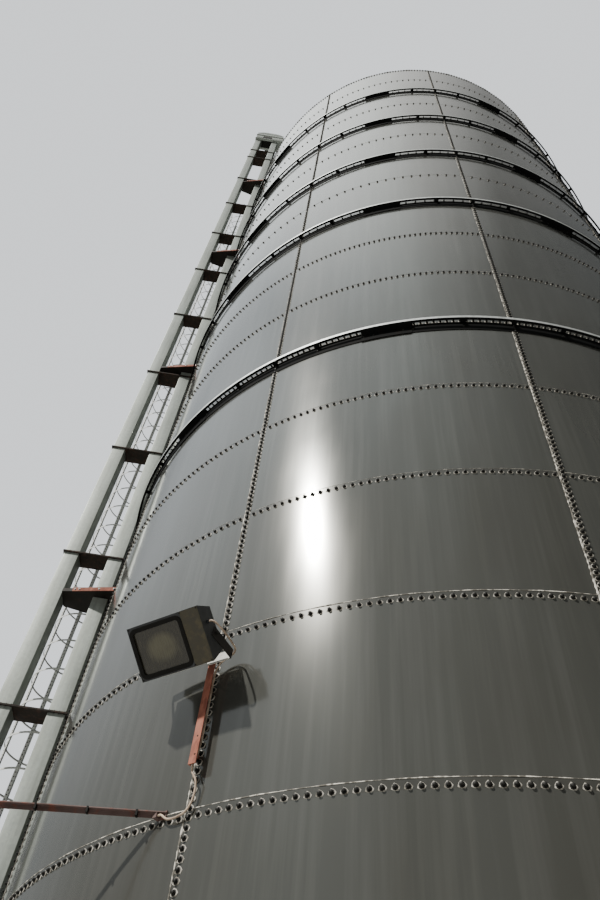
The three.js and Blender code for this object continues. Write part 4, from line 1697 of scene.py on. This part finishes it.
@dataclass
class Floodlight:
    """The floodlight on its strap and mast, its cable, and the arm that the cable goes to.

    Attributes:
        finishes: The silo's finishes.
        centre: Middle of its face in metres.
        facing: The direction that its glass points in.
        width: Along its long side, in metres.
        height: In metres.
        depth: In metres.
        taper: How much narrower each side is at the back, in metres.
        glass: Left, right, low and high edge of the glass, from the middle of the face, in metres.
        rubber: Corner radius and outer growth of the rubber frame, in metres.
        inset: From the housing's edge to the plates on its face, in metres.
        plate: Back and front of those plates, in metres off the face.
        gland: Length of the cable gland, its height on the face and its depth behind it, in metres.
        cable_radius: In metres.
        screws: From the face's sides and ends to its screws, and from its middle to the cover's, in metres.
        pivots: The strap's bolts: how far past each side, and how high and deep from the face's middle.
        mast_angle: Where the mast stands round the shell, in degrees.
        mast_stand: From the shell to the mast's front, in metres.
        band: Half a band's width, its thickness, and its middle's depth inside the arm's edge, in metres.
        arm_entry: Where the cable goes into the arm: degrees round the shell, and metres off it and up it.
        mast_holes: Open bolt holes in the mast's front, along the shell and up it, in metres.
        arm_ends: Both ends of the arm's front edge, in metres.
        bands: From its first end to the dark bands round the arm, in metres.
    """

    finishes: Finishes
    centre: Triple = (-3.0436, -3.5478, 4.9186)
    facing: Triple = (-0.3934, -0.5126, -0.7632)
    width: float = 0.592
    height: float = 0.375
    depth: float = 0.214
    taper: float = 0.037
    glass: tuple[float, float, float, float] = (-0.262, 0.123, -0.1525, 0.1475)
    rubber: Pair = (0.026, 0.026)
    inset: float = 0.003
    plate: Pair = (-0.001, 0.002)
    gland: Triple = (0.018, 0.061, 0.087)
    cable_radius: float = 0.007
    screws: Triple = (0.013, 0.011, 0.15)
    pivots: Triple = (0.0063, -0.028, -0.115)
    mast_angle: float = -129.13
    mast_stand: float = 0.084
    band: Triple = (0.006, 0.036, 0.010)
    arm_entry: Triple = (-132.5, 0.028, 3.965)
    mast_holes: tuple[Pair, Pair] = ((0.004, 4.395), (0.010, 4.270))
    arm_ends: tuple[Triple, Triple] = ((-2.905, -3.164, 3.972), (-4.250, -2.954, 3.972))
    bands: Triple = (0.118, 0.422, 0.745)

    def axes(self) -> np.ndarray:
        """Works out its three directions.

        Returns:
            Along its long side, up its face, and out of its glass.
        """
        out = np.array(self.facing) / np.linalg.norm(self.facing)
        across = np.cross(UP, out)
        across /= np.linalg.norm(across)
        return np.array([across, np.cross(out, across), out])

    def point(self, x: float, y: float, z: float) -> np.ndarray:
        """Returns the place of a point that is given on its own axes."""
        return np.array([x, y, z]) @ self.axes() + np.array(self.centre)

    def cable_points(self) -> np.ndarray:
        """Lists the points that the cable passes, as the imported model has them.

        Returns:
            One row of x, y and z in metres for each.
        """
        length, above, behind = self.gland
        x = self.width / 2 - self.taper * behind / self.depth + length + 0.0003
        start = [self.point(x, above, -behind), self.point(x + 0.014, above, -behind)]
        angle, stand, height = np.array(CABLE_ROUTE).T
        middle = bearing(angle) * (RADIUS + stand * MM)[:, None]
        middle[:, 2] = height * MM
        arm_angle, off, up = self.arm_entry
        ends = [np.array([RADIUS + off, aside, up]) @ wall_axes(arm_angle) for aside in (0.035, 0.0153)]
        return np.concatenate([start, middle, ends])

    def cable_line(self, steps: int = 8) -> np.ndarray:
        """Draws the cable's centreline, a smooth centripetal spline through its points.

        Between two points it is the cubic whose slopes at both come from the steps to their neighbours,
        each weighed by the root of its length.

        Args:
            steps: Points on each stretch.

        Returns:
            The points in metres.
        """
        points = self.cable_points()
        line = np.concatenate([[2 * points[0] - points[1]], points, [2 * points[-1] - points[-2]]])
        p0, p1, p2, p3 = line[:-3], line[1:-2], line[2:-1], line[3:]
        pairs = ((p0, p1), (p1, p2), (p2, p3))
        gaps = [np.linalg.norm(b - a, axis=1, keepdims=True) ** 0.5 for a, b in pairs]
        first = (p1 - p0) / gaps[0] - (p2 - p0) / (gaps[0] + gaps[1]) + (p2 - p1) / gaps[1]
        second = (p2 - p1) / gaps[1] - (p3 - p1) / (gaps[1] + gaps[2]) + (p3 - p2) / gaps[2]
        first, second = first * gaps[1], second * gaps[1]
        squared = -3 * p1 + 3 * p2 - 2 * first - second
        cubed = 2 * p1 - 2 * p2 + first + second
        t = (np.arange(steps) / steps)[None, :, None]
        curve = p1[:, None] + first[:, None] * t + squared[:, None] * t**2 + cubed[:, None] * t**3
        return np.concatenate([curve.reshape(-1, 3), points[-1:]])

    def build_cable(self) -> None:
        """Builds the cable."""
        line = self.cable_line()
        surface = tube(line, self.cable_radius, 12)
        piece = add_piece("floodlight_cable", surface, self.finishes.cable, ("lamp_cable",))

    def gasket(self) -> Surface:
        """The rubber frame round the glass, a rounded outline carried with a flat section.

        Returns:
            The closed surface.
        """
        left, right, low, high = self.glass
        middle = ((left + right) / 2, (low + high) / 2)
        half = ((right - left) / 2, (high - low) / 2)
        corner, grow = self.rubber
        section = ((grow, -0.001), (grow - 0.001, 0.006), (-0.004, 0.006), (-0.005, -0.001))
        wider, heights = zip(*section)
        rings = [rounded_outline(middle, half, corner, more, 6) for more in wider]
        return swept(stacked(rings, heights).swapaxes(0, 1), closed=True)

    def face_plates(self) -> tuple[Surface, Surface]:
        """The plates on the face beside the rubber frame.

        Returns:
            The cover plate beside the glass, and the narrow rim plates round it.
        """
        left, right, low, high = self.glass
        x, y = self.width / 2 - self.inset, self.height / 2 - self.inset
        back, front = self.plate
        edge = self.rubber[1] + 0.0005
        end = right + edge - 0.001
        rim = joined([
            box((-x, high + edge, back), (end, y, front)),
            box((-x, -y, back), (end, low - edge, front)),
            box((-x, low - edge + 0.0005, back), (left - edge, high + edge - 0.0005, front)),
        ])
        return box((right + edge, -y, back), (x, y, front)), rim

    def face_screws(self) -> Surface:
        """The screws of the face and the two pivot bolts of its strap.

        Returns:
            All of them in one surface.
        """
        side, end, cover = self.screws
        x, y = self.width / 2 - side, self.height / 2 - end
        spots = np.array([(-x, -y), (x, -y), (x, y), (-x, y), (cover, y), (cover, -y)])
        screws = FACE_SCREW.at(np.c_[spots, np.full(len(spots), self.plate[1])], UP)
        past, high, deep = self.pivots
        reach = self.width / 2 + past
        ends = np.array([[reach, high, deep], [-reach, high, deep]])
        pivots = PIVOT_BOLT.at(ends, np.array([[1.0, 0.0, 0.0], [-1.0, 0.0, 0.0]]))
        return joined([screws, pivots])

    def mast_details(self) -> None:
        """Adds the open bolt holes in the mast's front, as dark discs of painted shade, and the dark bands
        round the cable arm.
        """
        half_band, thick, inside = self.band
        holes = np.array([(RADIUS + self.mast_stand, aside, z) for aside, z in self.mast_holes])
        dark = OPEN_HOLE.at(holes, np.array([1.0, 0.0, 0.0])).moved(wall_axes(self.mast_angle))
        add_piece("mast_bolt_holes", dark, self.finishes.gasket)
        start, end = np.array(self.arm_ends)
        along = (end - start) / np.linalg.norm(end - start)
        side = np.array([along[1], -along[0], 0])
        bands = []
        for reach in self.bands:
            middle = start + along * reach - side * inside
            path = np.array([middle - along * half_band, middle + along * half_band])
            bands.append(bar(path, side * thick / 2, UP * thick / 2))
        add_piece("arm_bands", joined(bands), self.finishes.gasket)

    def build(self) -> None:
        """Builds and dresses the floodlight."""
        kit, axes = self.finishes, self.axes()
        dress(["lamp_housing"], kit.lamp_coat)
        dress(["lamp_glass"], kit.lamp_glass(self.centre, axes))
        dress(["lamp_yoke"], kit.lamp_strap(self.centre, axes))
        dress(["lamp_mast"], kit.rust)
        dress(["cable_arm"], kit.arm_rust)
        cover, rim = self.face_plates()
        pieces = (
            ("lamp_gasket", self.gasket(), kit.gasket, Slot.LAMP_HOUSING),
            ("lamp_gear_cover", cover, kit.lamp_face, Slot.LAMP_HOUSING),
            ("lamp_rim", rim, kit.lamp_coat, Slot.LAMP_HOUSING),
            ("lamp_screws", self.face_screws(), kit.bolt, Slot.DARK_STEEL),
        )
        for name, surface, material, slot in pieces:
            add_piece(name, surface.moved(axes, self.centre), material)
        self.mast_details()


# Camera, floor and light


@dataclass
class Studio:
    """The camera at the photograph's viewing angle, a pale floor and soft light.

    The camera's values come from a pinhole fit to the shell's seams and bolt rows.

    Attributes:
        eye: The camera's place in metres.
        heading: Where it looks, in degrees from +Y towards +X.
        pitch: How far up it looks, in degrees.
        roll: How far it is turned about its view, in degrees.
        lens: Focal length in mm on a frame 36 mm high.
        sky: The sky's strength.
        fill_share: The share of it that lights matt surfaces, which keeps shadows dark.
        sun: Where the key light comes from.
        sun_strength: Of the key light.
        sun_width: The angle that it fills, in degrees.
        sun_colour: Its red, green and blue, in linear light.
        backdrop: The sky's colour to the camera.
        up_stops: The sky's colours from the horizon to the zenith.
        aside_stops: What they are multiplied by, from -X to +X.
    """

    eye: Triple = (-2.4917, -7.6881, 1.8212)
    heading: float = 2.2
    pitch: float = 52.8212
    roll: float = 7.0896
    lens: float = 29.4806
    sky: float = 5.6
    fill_share: float = 0.3
    sun: Triple = (-0.567, -0.384, 0.729)
    sun_strength: float = 5.6
    sun_width: float = 1.5
    sun_colour: Triple = (1.0, 0.96, 0.9)
    backdrop: str = "7a7c7e"
    up_stops: tuple = (
        (0.0, "3b3d3e"), (0.38, "454748"), (0.6, "656769"),
        (0.77, "84878a"), (0.9, "b0b4b8"), (0.99, "ffffff"),
    )
    aside_stops: tuple = (
        (0.0, "fdfeff"), (0.13, "fdfeff"), (0.2, "e6e8e9"), (0.27, "a4a6a7"), (0.36, "b0b2b1"),
        (0.43, "a0a2a0"), (0.5, "80807e"), (0.62, "464645"), (0.9, "3c3c3a"),
    )

    def camera(self) -> None:
        """Adds the camera."""
        heading, pitch, roll = (math.radians(value) for value in (self.heading, self.pitch, self.roll))
        forward = Vector((
            math.sin(heading) * math.cos(pitch), math.cos(heading) * math.cos(pitch), math.sin(pitch)
        ))
        level = Vector((math.cos(heading), -math.sin(heading), 0))
        upright = level.cross(forward)
        right = math.cos(roll) * level + math.sin(roll) * upright
        up = -math.sin(roll) * level + math.cos(roll) * upright
        data = bpy.data.cameras.new("camera")
        data.lens = self.lens
        data.sensor_width = 36
        data.clip_end = 500
        eye = bpy.data.objects.new("camera", data)
        turn = Matrix((right, up, -forward)).transposed().to_4x4()
        eye.matrix_world = Matrix.Translation(Vector(self.eye)) @ turn
        bpy.context.scene.collection.objects.link(eye)
        bpy.context.scene.camera = eye

    def floor(self) -> None:
        """Adds the pale floor."""
        side = 60
        mesh = bpy.data.meshes.new("floor")
        corners = [(-side, -side, 0), (side, -side, 0), (side, side, 0), (-side, side, 0)]
        mesh.from_pydata(corners, [], [(0, 1, 2, 3)])
        coat = NodeKit("pale_studio_floor").finish(Base_Color=linear("aeaeac"), Roughness=0.8)
        mesh.materials.append(coat)
        floor = bpy.data.objects.new("floor", mesh)
        bpy.context.scene.collection.objects.link(floor)

    def light(self) -> None:
        """Adds one soft key light from the upper left and a pale sky that is brighter towards the top."""
        key = bpy.data.lights.new("key", "SUN")
        key.energy = self.sun_strength
        key.angle = math.radians(self.sun_width)
        key.color = self.sun_colour
        lamp = bpy.data.objects.new("key", key)
        lamp.rotation_euler = Vector(self.sun).to_track_quat("Z", "Y").to_euler()
        bpy.context.scene.collection.objects.link(lamp)

        world = bpy.data.worlds.new("studio")
        bpy.context.scene.world = world
        world.use_nodes = True
        tree = world.node_tree
        background = tree.nodes["Background"].inputs
        height = self.graded(tree, "Z", 0.0, self.up_stops)
        aside = self.graded(tree, "X", -1.0, self.aside_stops)
        sky = add_node(tree, "Mix", {**RGBA, "blend_type": "MULTIPLY"}, 2, i0=1.0, i6=height, i7=aside)
        seen = add_node(tree, "LightPath", out="Is Camera Ray")
        matt = add_node(tree, "LightPath", out="Is Diffuse Ray")
        colour = add_node(tree, "Mix", RGBA, 2, i0=seen, i6=sky, i7=linear(self.backdrop))
        strength = add_node(tree, "MapRange", Value=matt, To_Min=self.sky, To_Max=self.sky * self.fill_share)
        connect(tree, background["Color"], colour)
        connect(tree, background["Strength"], strength)

    def graded(self, tree: bpy.types.NodeTree, axis: str, low: float, stops: tuple) -> Socket:
        """Turns one coordinate of the sky into a colour.

        Args:
            tree: The world's node tree.
            axis: X, Y or Z.
            low: The value that stands for 0. The value 1 stands for 1.
            stops: Places from 0 to 1, each with a hex colour.

        Returns:
            The colour.
        """
        direction = add_node(tree, "TexCoord", out="Generated")
        value = add_node(tree, "SeparateXYZ", out=axis, Vector=direction)
        scaled = add_node(tree, "MapRange", Value=value, From_Min=low)
        return add_node(tree, "ValToRGB", Fac=scaled, stops=stops)

    def build(self) -> None:
        """Sets up the studio."""
        self.camera()
        self.floor()
        self.light()


def main() -> None:
    """Builds the silo's looks piece by piece."""
    logging.basicConfig(level=logging.INFO, format="%(message)s")
    Studio().build()
    finishes = Finishes()
    floodlight = Floodlight(finishes)
    floodlight.build_cable()
    floodlight.build()
    ShellPlates(finishes).build()
    for number, seam in enumerate(RING_SEAMS, 1):
        StiffenerRing(number, seam, finishes).build()
    Roof(finishes).build()
    BaseRing(finishes).build()
    Elevator(finishes).build()
    ShellTies(finishes).build()
    CagedLadder(finishes).build()


if __name__ == "__main__":
    main()
